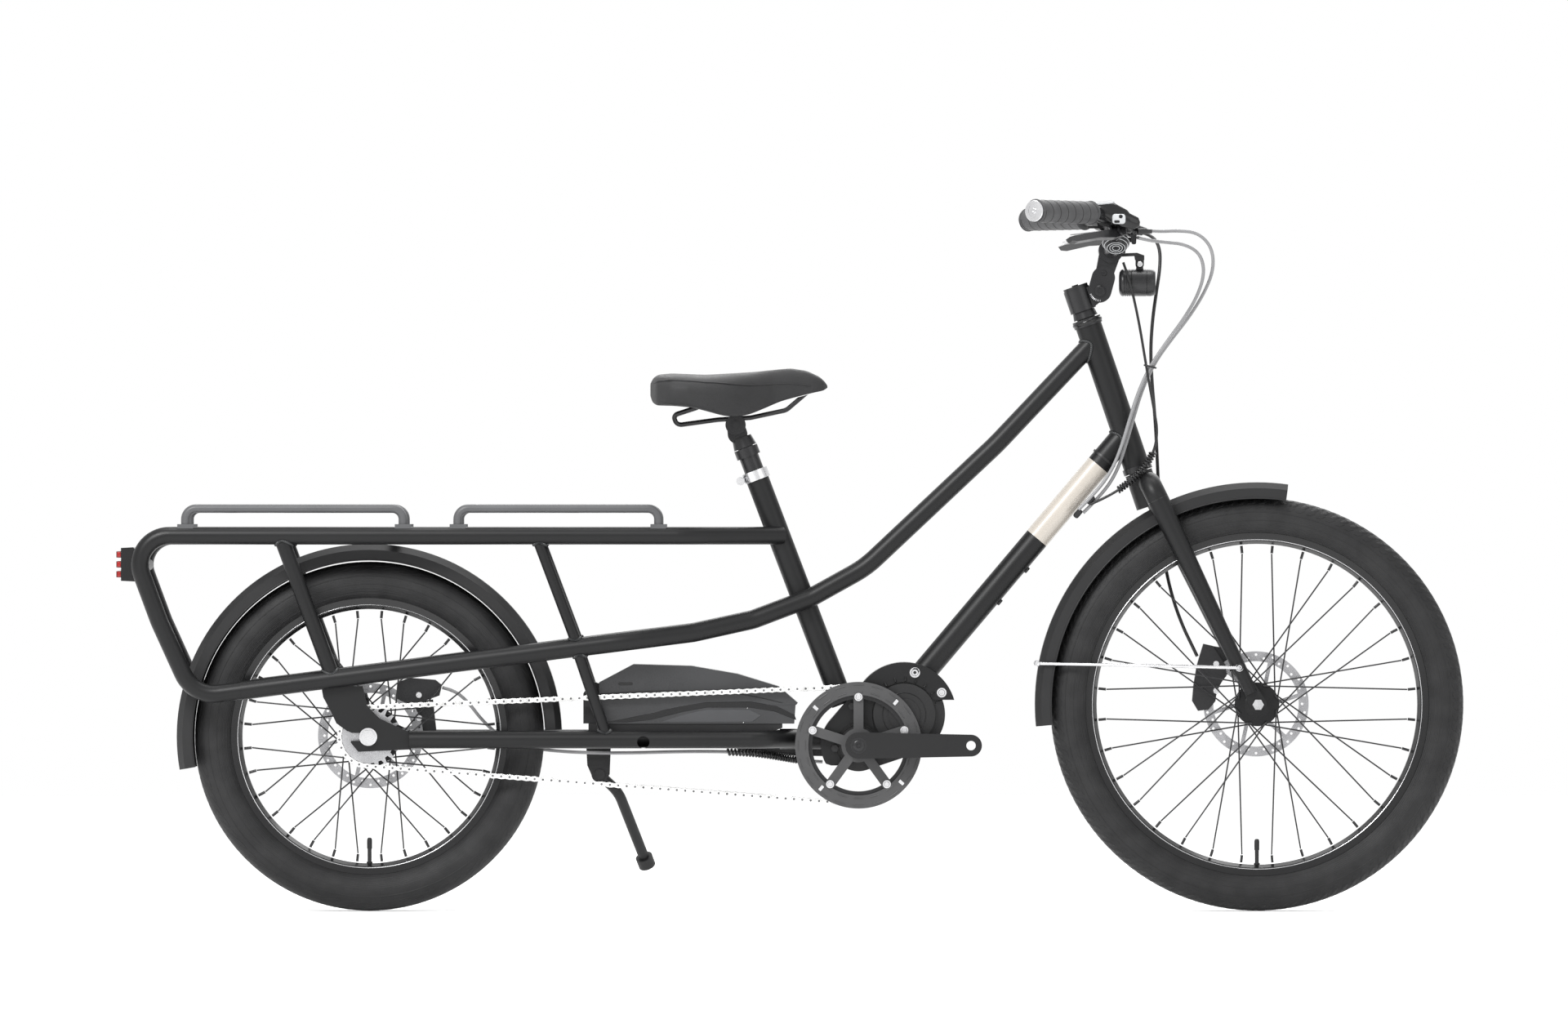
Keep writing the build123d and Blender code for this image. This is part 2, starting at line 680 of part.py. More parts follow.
# ---------------------------------------------------------------- fork and headset
LEG_Y = 56.0
LEG_TOP = (555.7, -LEG_Y, 626.4)
LEG_FOOT = (698.5, -LEG_Y, 331.0)


def fork_leg_right():
    leg = taper(LEG_TOP, LEG_FOOT, 16.5, 9.6)
    return leg


def fork_end_right():
    plate = side(capsule(690.5, 349.0, FRONT_AXLE_X, FRONT_AXLE_Z, 9.0, 13.0), -59.0, -FRONT_HUB_HALF)
    plate = plate - ring(FRONT_AXLE_X, FRONT_AXLE_Z, 5.0, 0, -60.0, -40.0)
    return plate - fork_leg_right()


def fork_crown():
    """The arch over the tyre, with the boss that holds the steerer."""
    lift = (-0.4353, 0.9003)
    rise = 26.0
    corner_x = LEG_TOP[0] + lift[0] * rise
    corner_z = LEG_TOP[2] + lift[1] * rise
    points = [LEG_TOP, (corner_x, -LEG_Y, corner_z), (corner_x, LEG_Y, corner_z),
              (LEG_TOP[0], LEG_Y, LEG_TOP[2])]
    arch = bent_tube(points, [25, 25], 16.4)
    boss = rod(steer(-64.0), steer(-10.0), 21.0)
    return (arch + boss) - rod(steer(-40.0), steer(20.0), STEERER_R)


def fork_steerer():
    return rod(steer(-40.0), steer(283.0), STEERER_R, 12.0)


def headset_cup(low, high, radius):
    """A bearing cup on the head tube that the steerer turns in."""
    return rod(steer(low), steer(high), radius, STEERER_R + RUNNING)


def headset_spacer():
    cone = taper(steer(238.0), steer(249.0), 19.0, 17.0)
    return cone - rod(steer(230.0), steer(255.0), STEERER_R)


# ---------------------------------------------------------------- stem, bar and controls
STEM_PIVOT = (469.8, 940.9)
BAR_CLAMP = (486.4, 1002.0)
BAR_R = 11.1


def stem_clamp():
    """The part of the stem that grips the steerer, with its forked lug."""
    body = rod(steer(249.2), steer(284.0), 20.0)
    lug = side(capsule(452.0, 930.0, STEM_PIVOT[0], STEM_PIVOT[1], 16.0, 13.5), -13.0, 13.0)
    slot = ring(STEM_PIVOT[0], STEM_PIVOT[1], 19.5, 0, -7.0, 7.0)
    pin = ring(STEM_PIVOT[0], STEM_PIVOT[1], 4.0 + RUNNING, 0, -30.0, 30.0)
    return body + (lug - slot) - rod(steer(240.0), steer(290.0), STEERER_R) - pin


def stem_top_cap():
    cap = rod(steer(284.0), steer(288.5), 19.0)
    screw = rod(steer(288.5), steer(290.5), 5.0)
    return cap + screw


def stem_arm():
    """The arm that tilts on the stem's pivot: a tongue below, cheeks above."""
    px, pz = STEM_PIVOT
    cx, cz = BAR_CLAMP
    tongue = ring(px, pz, 12.5, 0, -6.8, 6.8)
    web = side(capsule(px + 5.4, pz + 20.0, cx, cz, 13.0, 16.5), -16.0, 16.0)
    neck = side(capsule(px, pz, px + 5.4, pz + 20.0, 10.0, 10.0), -6.8, 6.8)
    clamp = ring(cx, cz, 18.5, 0, -22.0, 22.0)
    keep_off = ring(px, pz, 21.5, 0, -40.0, -6.8) + ring(px, pz, 21.5, 0, 6.8, 40.0)
    cheeks = [side(capsule(px, pz, px + 5.4, pz + 20.0, 17.5, 17.5), low, low + 4.0) for low in (-17.6, 13.6)]
    arm = tongue + neck + (web - keep_off) + clamp + cheeks[0] + cheeks[1]
    arm = arm - ring(cx, cz, BAR_R, 0, -30.0, 30.0)
    return arm - ring(px, pz, 4.0, 0, -30.0, 30.0)


def stem_pivot_bolt():
    px, pz = STEM_PIVOT
    pin = ring(px, pz, 4.0, 0, -17.6, 17.6)
    heads = hexagon(px, pz, 11.0, -20.6, -17.6) + hexagon(px, pz, 11.0, 17.6, 20.6)
    return pin + heads


BAR_RISE = (490.4, -146.0, 1048.0)
GRIP_IN = (452.0, -207.0, 1055.4)
GRIP_OUT = (366.0, -327.0, 1055.7)


def bar_path():
    """The bar's route from end to end, with the radius of each bend."""
    cx, cz = BAR_CLAMP
    half = [(cx, -30.0, cz), (cx + 6.0, -96.0, cz + 8.0), BAR_RISE, GRIP_IN, GRIP_OUT]
    points = [(x, -y, z) for x, y, z in reversed(half)] + half
    return points, [120, 40, 55, 26, 26, 55, 40, 120]


def handlebar():
    return bent_tube(*bar_path(), BAR_R, 9.2)


def handlebar_envelope():
    return bent_tube(*bar_path(), BAR_R)


def grip_right():
    return rod(GRIP_IN, GRIP_OUT, 17.0) - handlebar_envelope()


def grip_cap_right():
    along = unit(GRIP_IN, GRIP_OUT)
    end = Vector(*GRIP_OUT)
    return rod(tuple(end), tuple(end + along * 3.0), 15.5)


LEVER_BAR_POINT = between(BAR_RISE, GRIP_IN, 0.32)
TANK_BACK, TANK_FRONT = (490.0, -160.0, 1038.0), (521.0, -122.0, 1034.0)
HOSE_EXIT = (536.0, -104.0, 1031.5)
LEVER_PIVOT = (494.0, -176.0, 1026.0)
LEVER_TIP = (417.0, -296.0, 1014.7)


def lever_frame():
    """A plane at the lever's pivot, X along the blade, Y towards the grip."""
    along = unit(LEVER_PIVOT, LEVER_TIP)
    grip_point = Vector(*GRIP_IN) * 0.3 + Vector(*GRIP_OUT) * 0.7
    to_grip = grip_point - Vector(*LEVER_TIP)
    axis = along.cross(to_grip).normalized()
    return Plane(origin=Vector(*LEVER_PIVOT), x_dir=along, z_dir=axis)


def brake_lever_right():
    """The blade: an eye at the pivot, a knee and a hooked finger end."""
    frame = lever_frame()
    length = (Vector(*LEVER_TIP) - Vector(*LEVER_PIVOT)).length
    blade = outline([
        (0.0, -7.0), (22.0, -9.0), (length * 0.45, -6.0), (length * 0.9, -8.0), (length, -5.5),
        (length + 2, 1.0),
        (length * 0.9, 2.5), (length * 0.5, 4.0), (22.0, 5.0), (0.0, 7.0),
    ])
    solid = extrude(frame * (blade + Circle(8.0) - Circle(3.0 + RUNNING)), amount=4.5, both=True)
    return solid


def brake_body_right():
    """The master cylinder and its fork round the lever's eye, on a bar clamp."""
    frame = lever_frame()
    ears = Circle(8.5) + Pos(-6.0, 9.0) * (Rot(0, 0, 20) * Rectangle(17.0, 20.0))
    upper = extrude(frame.offset(4.9) * ears, amount=4.0)
    lower = extrude(frame.offset(-8.9) * ears, amount=4.0)
    pin_hole = extrude(frame.offset(-12.0) * Circle(3.0), amount=24.0)
    middle = Vector(*LEVER_BAR_POINT)
    along = unit(BAR_RISE, GRIP_IN)
    collar = rod(tuple(middle - along * 8.0), tuple(middle + along * 8.0), 15.5)
    tank = rod(TANK_BACK, TANK_FRONT, 9.0)
    boot = taper(TANK_FRONT, HOSE_EXIT, 6.5, 4.2)
    link = rod(tuple(middle), TANK_BACK, 9.0)
    room = Circle(11.0) + Pos(60.0, 0.0) * Rectangle(130.0, 30.0)
    lever_room = extrude(frame.offset(-4.9) * room, amount=9.8)
    return upper + lower + collar + link + tank + boot - handlebar_envelope() - pin_hole - lever_room


def brake_pin_right():
    frame = lever_frame()
    return extrude(frame.offset(-9.6) * Circle(3.0), amount=19.2)


def display_unit():
    """The shift pod with its small display, on the bar beside the right grip."""
    start = Vector(*between(BAR_RISE, GRIP_IN, 0.55))
    along = unit(BAR_RISE, GRIP_IN)
    collar = rod(tuple(start), tuple(start + along * 16.0), 14.8)
    pod = Pos(486.0, -186.0, 1071.0) * (Rot(0, 24.0, 52.0) * Box(46.0, 28.0, 12.0))
    neck = rod(tuple(start + along * 8.0), (483.0, -184.0, 1069.0), 9.0)
    return collar + pod + neck - handlebar_envelope() - brake_body_right()


SHIFT_PIVOT = (466.0, -181.0, 1034.0)


def shift_lever():
    """A thumb paddle below the pod, on an upright pivot."""
    frame = Plane(origin=Vector(*SHIFT_PIVOT), x_dir=Vector(-0.58, -0.81, 0.0), z_dir=Vector(0, 0, 1))
    paddle = capsule(0.0, 0.0, 22.0, 0.0, 4.0, 6.5)
    return extrude(frame * paddle, amount=1.8, both=True)


BELL_ON_BAR = (491.4, -121.0, 1028.6)
BELL_DOWN = Vector(0.0, -0.605, -0.796)
BELL_R = 21.0


def bell():
    """A dome under the bar, on a band round it."""
    top = Vector(*BELL_ON_BAR) + BELL_DOWN * 17.5
    band = rod(tuple(Vector(*BELL_ON_BAR) - BAR_SLOPE * 5.0), tuple(Vector(*BELL_ON_BAR) + BAR_SLOPE * 5.0),
               14.0)
    neck = rod(BELL_ON_BAR, tuple(top + BELL_DOWN * 2.0), 6.0)
    base = rod(tuple(top), tuple(top + BELL_DOWN * 4.0), BELL_R - 1.0)
    dome = taper(tuple(top + BELL_DOWN * 4.0), tuple(top + BELL_DOWN * 14.0), BELL_R, BELL_R - 6.0)
    return band + neck + base + dome - handlebar_envelope()


BAR_SLOPE = unit((492.4, -96.0, 1010.0), (490.4, -146.0, 1048.0))
STRIKER_PIVOT = Vector(*BELL_ON_BAR) + BELL_DOWN * 17.5 + Vector(BELL_R + 6.0, 0, 0)


def bell_striker():
    """The thumb lever that rings the bell, pivoted ahead of the dome."""
    frame = Plane(origin=STRIKER_PIVOT, x_dir=BAR_SLOPE, z_dir=BELL_DOWN)
    return extrude(frame * capsule(0.0, 0.0, 17.0, 0.0, 3.5, 4.5), amount=4.0)


def striker_bracket():
    """The arm of the bell's base that carries the striker's pivot."""
    frame = Plane(origin=STRIKER_PIVOT - BELL_DOWN * 3.4, x_dir=Vector(-1, 0, 0), z_dir=BELL_DOWN)
    return extrude(frame * capsule(0.0, 0.0, 14.0, 0.0, 3.5, 4.5), amount=3.0)


# ---------------------------------------------------------------- lamps
LAMP_Z, LAMP_R = 953.5, 20.5
LAMP_HINGE = (530.5, 981.3)


def headlight_bracket():
    """From the bar clamp forward to a fork that holds the lamp's eye."""
    cx, cz = BAR_CLAMP
    arm = side(outline([(cx + 14, cz - 4), (cx + 40, cz - 3), (cx + 51, cz - 7), (cx + 51, cz - 14),
                        (cx + 37, cz - 14), (cx + 36, cz - 8), (cx + 14, cz - 9)]), -6.0, 6.0)
    hx, hz = LAMP_HINGE
    ear = side(capsule(hx, hz + 5.0, hx, hz, 6.3, 6.3), -8.0, -4.0)
    bridge = side(outline([(hx - 6.5, hz + 6.5), (hx + 6.5, hz + 6.5), (hx + 6.5, hz + 11.0),
                           (hx - 6.5, hz + 11.0)]),
                  -8.0, 8.0)
    bracket = arm + bridge + ear + left(ear) - ring(cx, cz, 18.5, 0, -22, 22)
    return bracket - ring(hx, hz, 2.5, 0, -20, 20)


def headlight_hinge_bolt():
    hx, hz = LAMP_HINGE
    return ring(hx, hz, 2.5, 0, -8.0, 8.0) + ring(hx, hz, 5.0, 0, -11.0, -8.0) + ring(hx, hz, 5.0, 0, 8.0,
            10.5)


def headlight_body():
    hx, hz = LAMP_HINGE
    can = rod((499.0, 0, LAMP_Z), (541.0, 0, LAMP_Z), LAMP_R)
    bezel = rod((541.0, 0, LAMP_Z), (554.6, 0, LAMP_Z), LAMP_R - 0.4, LAMP_R - 3.0)
    eye = side(capsule(hx, hz, hx, hz - 14.0, 5.0, 6.0), -3.6, 3.6)
    return can + bezel + eye - ring(hx, hz, 2.5 + RUNNING, 0, -20, 20)


def headlight_lens():
    return rod((541.0, 0, LAMP_Z), (552.5, 0, LAMP_Z), LAMP_R - 3.0)


def tail_light():
    """A box on the rear cross tube with a clamp block ahead of it."""
    box = side(outline([(-1014.5, 501.0), (-994.0, 500.0), (-992.0, 512.0), (-992.0, 548.0), (-996.0, 552.0),
                        (-1014.5, 551.0)]), -44.0, 44.0)
    return box - rod((LIGHT_BAR[0], -60, LIGHT_BAR[1]), (LIGHT_BAR[0], 60, LIGHT_BAR[1]), 11.0)


def tail_light_lenses():
    return [side(Pos(-1018.1, z) * Rectangle(7.2, 9.0), -38.0, 38.0) for z in (541.0, 526.0, 511.0)]


# ---------------------------------------------------------------- seat post and saddle
def seat_clamp():
    band = rod(seat(SEAT_TUBE_LENGTH - 4.0), seat(SEAT_TUBE_LENGTH + 11.0), 20.0, SEATPOST_R + 0.35)
    band = band - rod(seat(SEAT_TUBE_LENGTH - 20.0), seat(SEAT_TUBE_LENGTH), SEAT_TUBE_R)
    ears_x, _, ears_z = seat(SEAT_TUBE_LENGTH + 3.5, -25.0)
    ears = rod((ears_x, -12.0, ears_z), (ears_x, 12.0, ears_z), 6.5)
    return band + (ears - rod(seat(SEAT_TUBE_LENGTH - 20.0), seat(SEAT_TUBE_LENGTH + 40.0), 18.0))


def seat_clamp_bolt():
    x, _, z = seat(SEAT_TUBE_LENGTH + 3.5, -25.0)
    return rod((x, -15.0, z), (x, -12.0, z), 5.0) + rod((x, 12.0, z), (x, 15.0, z), 5.0)


def seatpost():
    return rod(seat(300.0), seat(478.0), SEATPOST_R, 12.0)


def seatpost_collar():
    """The split nut at the top of the post."""
    lower = rod(seat(468.0), seat(482.0), 18.5, SEATPOST_R)
    return lower - rod(seat(460.0), seat(490.0), 12.0)


SADDLE_CLAMP = (-83.1, 737.7)


def seatpost_head():
    """Sliding head: a stanchion in the post and the saddle's yoke."""
    cx, cz = SADDLE_CLAMP
    stanchion = rod(seat(440.0), seat(483.0), 12.0)
    shoulder = taper(seat(483.0), seat(499.0), 18.0, 15.0)
    disc_room = ring(cx, cz, 15.9, 0, -40.0, -9.2)
    shoulder = shoulder - disc_room - left(disc_room)
    yoke = side(capsule(cx + 3.0, cz - 14.0, cx, cz, 15.0, 13.0), -9.0, 9.0)
    return stanchion + shoulder + yoke - ring(cx, cz, 4.0 + RUNNING, 0, -30, 30)


def seat_clamp_disc():
    """The two cheeks that pinch the saddle rails on the head."""
    cx, cz = SADDLE_CLAMP
    near = ring(cx, cz, 15.4, 4.0, -27.0, -9.4)
    near = near - saddle_wire()
    return near, left(near)


def saddle_bolt():
    cx, cz = SADDLE_CLAMP
    return ring(cx, cz, 4.0, 0, -30.9, 30.9) + hexagon(cx, cz, 11.0, -30.0, -27.0) + hexagon(cx, cz, 11.0,
            27.0, 30.0)


def saddle_wire():
    """Two steel wires under the saddle, bent up at the back."""
    wire = bent_tube(
        [(28.0, -12.0, 789.0), (-6.0, -20.0, 760.0), (-60.0, -22.0, 748.5), (-110.0, -22.0, 745.5),
         (-172.0, -26.0, 737.0),
         (-178.0, -36.0, 752.0), (-140.0, -42.0, 764.5), (-112.0, -44.0, 768.0)],
        [18, 30, 80, 10, 8, 14], 3.5,
    )
    return wire - saddle_body()


def saddle_body():
    """The padded saddle: a side outline trimmed to the plan of the seat."""
    profile = outline([
        (-213.0, 806.0), (-205.0, 815.0), (-185.0, 817.0), (-128.0, 814.0), (-60.0, 819.0), (0.0, 824.5),
        (25.0, 821.0),
        (45.0, 809.0), (56.5, 795.0), (52.0, 790.5), (10.0, 779.0), (-40.0, 756.0), (-62.0, 749.0),
        (-90.0, 748.5),
        (-118.0, 755.0), (-146.0, 763.0), (-175.0, 768.0), (-206.0, 767.6), (-213.0, 785.0),
    ])
    plan = outline([
        (-213.0, 60.0), (-200.0, 84.0), (-175.0, 98.0), (-140.0, 100.0), (-110.0, 90.0), (-75.0, 66.0),
        (-40.0, 40.0),
        (0.0, 27.0), (40.0, 22.0), (56.5, 12.0), (56.5, -12.0), (40.0, -22.0), (0.0, -27.0), (-40.0, -40.0),
        (-75.0, -66.0), (-110.0, -90.0), (-140.0, -100.0), (-175.0, -98.0), (-200.0, -84.0), (-213.0, -60.0),
    ])
    tall = extrude(Plane.XY.offset(700.0) * plan, amount=200.0)
    hollow = side(outline([(-132.0, 730.0), (-132.0, 766.0), (-118.0, 771.0), (-45.0, 771.0), (-34.0, 764.0),
                           (-34.0, 730.0)]), -36.0, 36.0)
    return (side(profile, -120.0, 120.0) & tall) - hollow


# ---------------------------------------------------------------- battery
BATTERY_HALF = 38.0


def battery_case():
    profile = outline([
        (-290.0, 284.5), (-290.0, 347.0), (-238.0, 374.5), (-150.0, 372.0), (-80.0, 360.0), (-17.2, 340.8),
        (11.3, 316.0),
        (9.0, 313.0), (-64.0, 313.0), (-72.0, 284.5),
    ])
    return side(profile, -BATTERY_HALF, BATTERY_HALF)


def battery_lock_block():
    profile = outline([(-71.0, 284.5), (-63.5, 312.8), (8.0, 312.8), (6.0, 284.5)])
    return side(profile, -BATTERY_HALF, BATTERY_HALF)


def battery_tray():
    tray = side(outline([(-306.0, 272.0), (-306.0, 284.3), (-12.0, 284.3), (-12.0, 278.0), (-30.0, 272.0)]),
                -36.0, 36.0)
    feet = [side(outline([(x - 9, 264.0), (x - 9, 272.0), (x + 9, 272.0), (x + 9, 264.0)]), -20.0, 20.0)
            for x in BATTERY_BRIDGE_X[:1]]
    tray = tray + feet[0]
    return tray - rod((BATTERY_BRIDGE_X[0], -64, 257.0), (BATTERY_BRIDGE_X[0], 64, 257.0), 7.0)


def battery_socket():
    return side(outline([(-314.0, 284.5), (-314.0, 330.0), (-302.0, 349.0), (-290.3, 345.0),
                         (-290.3, 284.5)]),
                -24.0, 24.0)


# ---------------------------------------------------------------- brakes
def front_caliper():
    """Caliper on an adapter behind the left fork leg."""
    body = side(outline([(628.0, 405.0), (642.0, 402.0), (662.0, 372.0), (664.0, 350.0), (650.0, 322.0),
                         (636.0, 305.0),
                         (620.0, 303.0), (611.0, 318.0), (613.0, 342.0), (618.0, 372.0)]), 30.0, 49.0)
    slot = ring(FRONT_AXLE_X, FRONT_AXLE_Z, DISC_R + 2.5, 0, 37.2, 40.8)
    inner = ring(FRONT_AXLE_X, FRONT_AXLE_Z, 62.0, 0, 20.0, 60.0)
    leg = left(fork_leg_right())
    tab = side(outline([(640.0, 402.0), (664.0, 398.0), (690.0, 362.0), (686.0, 346.0), (660.0, 360.0)]),
               44.0, 49.0)
    return body - slot - inner + (tab - leg - inner)


def rear_caliper(envelopes):
    """Caliper on a plate that stands on the left chainstay."""
    body = side(outline([(-600.0, 322.0), (-596.0, 347.0), (-580.0, 353.0), (-540.0, 350.0), (-530.0, 342.0),
                         (-534.0, 326.0), (-556.0, 318.0), (-580.0, 312.0)]), 42.5, 63.0)
    slot = ring(REAR_AXLE_X, REAR_AXLE_Z, DISC_R + 2.5, 0, 50.2, 53.6)
    inner = ring(REAR_AXLE_X, REAR_AXLE_Z, 60.0, 0, 30.0, 70.0)
    plate = side(outline([(-574.0, 266.0), (-538.0, 266.0), (-544.0, 320.0), (-574.0, 316.0)]), 57.0, 63.0)
    return coped(body + plate - slot - inner, envelopes)


# ---------------------------------------------------------------- kickstand
STAND_PIVOT = (-290.1, 205.8)


def kickstand_bracket(envelopes):
    x, z = STAND_PIVOT
    plate = side(outline([(x - 21.0, 256.0), (x + 17.0, 256.0), (x + 15.0, z), (x + 9.0, z - 9.0),
                          (x - 9.0, z - 9.0),
                          (x - 19.0, z + 14.0)]), 56.0, 78.0)
    return coped(plate - ring(x, z, 5.0, 0, 50.0, 100.0), envelopes)


def kickstand_leg():
    x, z = STAND_PIVOT
    eye = ring(x, z, 13.0, 5.0 + RUNNING, 78.5, 92.0)
    knee = (-262.0, 96.0, 178.0)
    foot = (-224.0, 166.0, 78.0)
    leg = bent_tube([(x + 2.0, 86.0, z - 3.0), knee, foot], [60], 8.0)
    return eye + (leg - ring(x, z, 12.0, 0, 60.0, 110.0))


def kickstand_foot():
    start, end = Vector(-224.0, 166.0, 78.0), Vector(-219.0, 175.0, 64.5)
    return rod(tuple(start), tuple(end), 13.0) - kickstand_leg()


# ---------------------------------------------------------------- cables
HOSE_R = 2.6


def deck_rail(front_x, rear_x):
    """A low bar over the rack rail, standing on a pad at each end."""
    y = -RACK_HALF_WIDTH
    pad_z, bar_z = RACK_Z + RAIL_R + 2.0, 610.5
    bar = bent_tube([(rear_x, y, pad_z), (rear_x, y, bar_z), (front_x, y, bar_z), (front_x, y, pad_z)],
                    [16, 16], 6.5)
    pads = [side(Pos(x, pad_z - 2.5) * Rectangle(24.0, 9.0), y - 8.0, y + 8.0) for x in (rear_x, front_x)]
    rail = rod((-945.0, y, RACK_Z), (-150.0, y, RACK_Z), RAIL_R)
    return bar + pads[0] + pads[1] - rail


DECK_BARS = ((-586.3, -915.4), (-199.7, -503.4))


def kickstand_pin():
    x, z = STAND_PIVOT
    return rod((x, 56.0, z), (x, 94.0, z), 5.0) + ring(x, z, 8.0, 0, 94.0, 96.5) + ring(x, z, 8.0, 0, 53.5,
            56.0)


def cord(points, radius, name):
    """A cable along its route; each arc is as large as its two runs allow."""
    vectors = [Vector(*point) for point in points]
    radii = []
    for before, here, after in zip(vectors, vectors[1:], vectors[2:]):
        turn = (here - before).get_angle(after - here)
        shorter = min((here - before).length, (after - here).length)
        radii.append(0.45 * shorter / sin(radians(turn) / 2) * cos(radians(turn) / 2))
    print(name, "bend radii", [round(r) for r in radii])
    return bent_tube(points, radii, radius)


REAR_BRAKE_HOSE = [
    (536.9, -102.9, 1031.3), (556.0, -80.0, 1029.5), (586.0, -62.0, 1031.5), (617.0, -51.0, 1029.0),
    (639.0, -44.0, 1007.0),
    (642.0, -38.0, 973.0), (627.0, -32.0, 936.0), (604.0, -28.0, 900.0), (577.0, -26.0, 866.0),
    (552.0, -25.5, 831.0),
    (534.0, -26.0, 792.0), (521.0, -28.0, 750.0), (509.0, -30.0, 708.0), (496.0, -31.0, 668.0),
    (474.0, -31.0, 633.0),
    (444.0, -29.0, 604.0),
]
SHIFT_HOSE = [
    (524.5, -131.0, 1019.5), (540.0, -106.0, 1016.0), (566.0, -84.0, 1013.5), (597.0, -68.0, 1011.0),
    (621.0, -57.0, 997.0), (628.0, -49.0, 968.0), (617.0, -42.0, 932.0), (595.0, -38.0, 896.0),
    (568.0, -35.0, 860.0),
    (544.0, -34.0, 824.0), (527.0, -34.5, 786.0), (514.0, -36.0, 745.0), (502.0, -38.0, 704.0),
    (487.0, -38.5, 668.0),
    (465.0, -38.0, 637.0), (437.0, -36.5, 609.0),
]
DISPLAY_CABLE = [
    (505.0, -24.0, 984.0), (514.0, -27.0, 958.0), (522.0, -31.0, 925.0), (530.0, -35.0, 885.0),
    (537.0, -38.0, 842.0),
    (544.0, -39.5, 800.0), (551.0, -40.0, 762.0), (557.0, -40.0, 727.0), (551.0, -40.0, 695.0),
    (533.0, -40.5, 668.0),
    (507.0, -41.0, 645.0), (480.0, -39.5, 628.0), (455.0, -37.5, 617.0),
]
FRONT_BRAKE_HOSE = [
    (536.9, 102.9, 1031.3), (552.0, 82.0, 1027.0), (563.0, 66.0, 1008.0), (563.0, 55.0, 978.0),
    (557.0, 47.0, 940.0),
    (551.0, 43.0, 898.0), (548.0, 42.0, 852.0), (550.0, 44.0, 806.0), (554.0, 50.0, 762.0),
    (557.0, 60.0, 722.0),
    (559.0, 71.0, 684.0), (561.0, 78.0, 644.0), (563.0, 80.0, 602.0), (566.0, 78.0, 558.0),
    (573.0, 72.0, 512.0),
    (584.0, 64.0, 468.0), (598.0, 56.0, 430.0), (611.0, 49.5, 403.0), (619.0, 45.0, 386.0),
]
STAY_HOSE = [
    (-529.5, 53.0, 338.0), (-511.0, 51.0, 334.0), (-490.0, 48.5, 316.0), (-468.0, 47.0, 287.0),
    (-438.0, 46.5, 261.0),
    (-396.0, 46.0, 246.0), (-345.0, 45.5, 240.5), (-290.0, 45.0, 238.5), (-234.0, 44.4, 238.9),
    (-178.0, 44.0, 240.5),
    (-124.0, 43.0, 241.0), (-78.0, 41.5, 240.0), (-40.0, 39.0, 237.0), (-8.0, 35.0, 231.5),
    (21.0, 30.0, 227.0),
    (49.0, 26.0, 225.5),
]


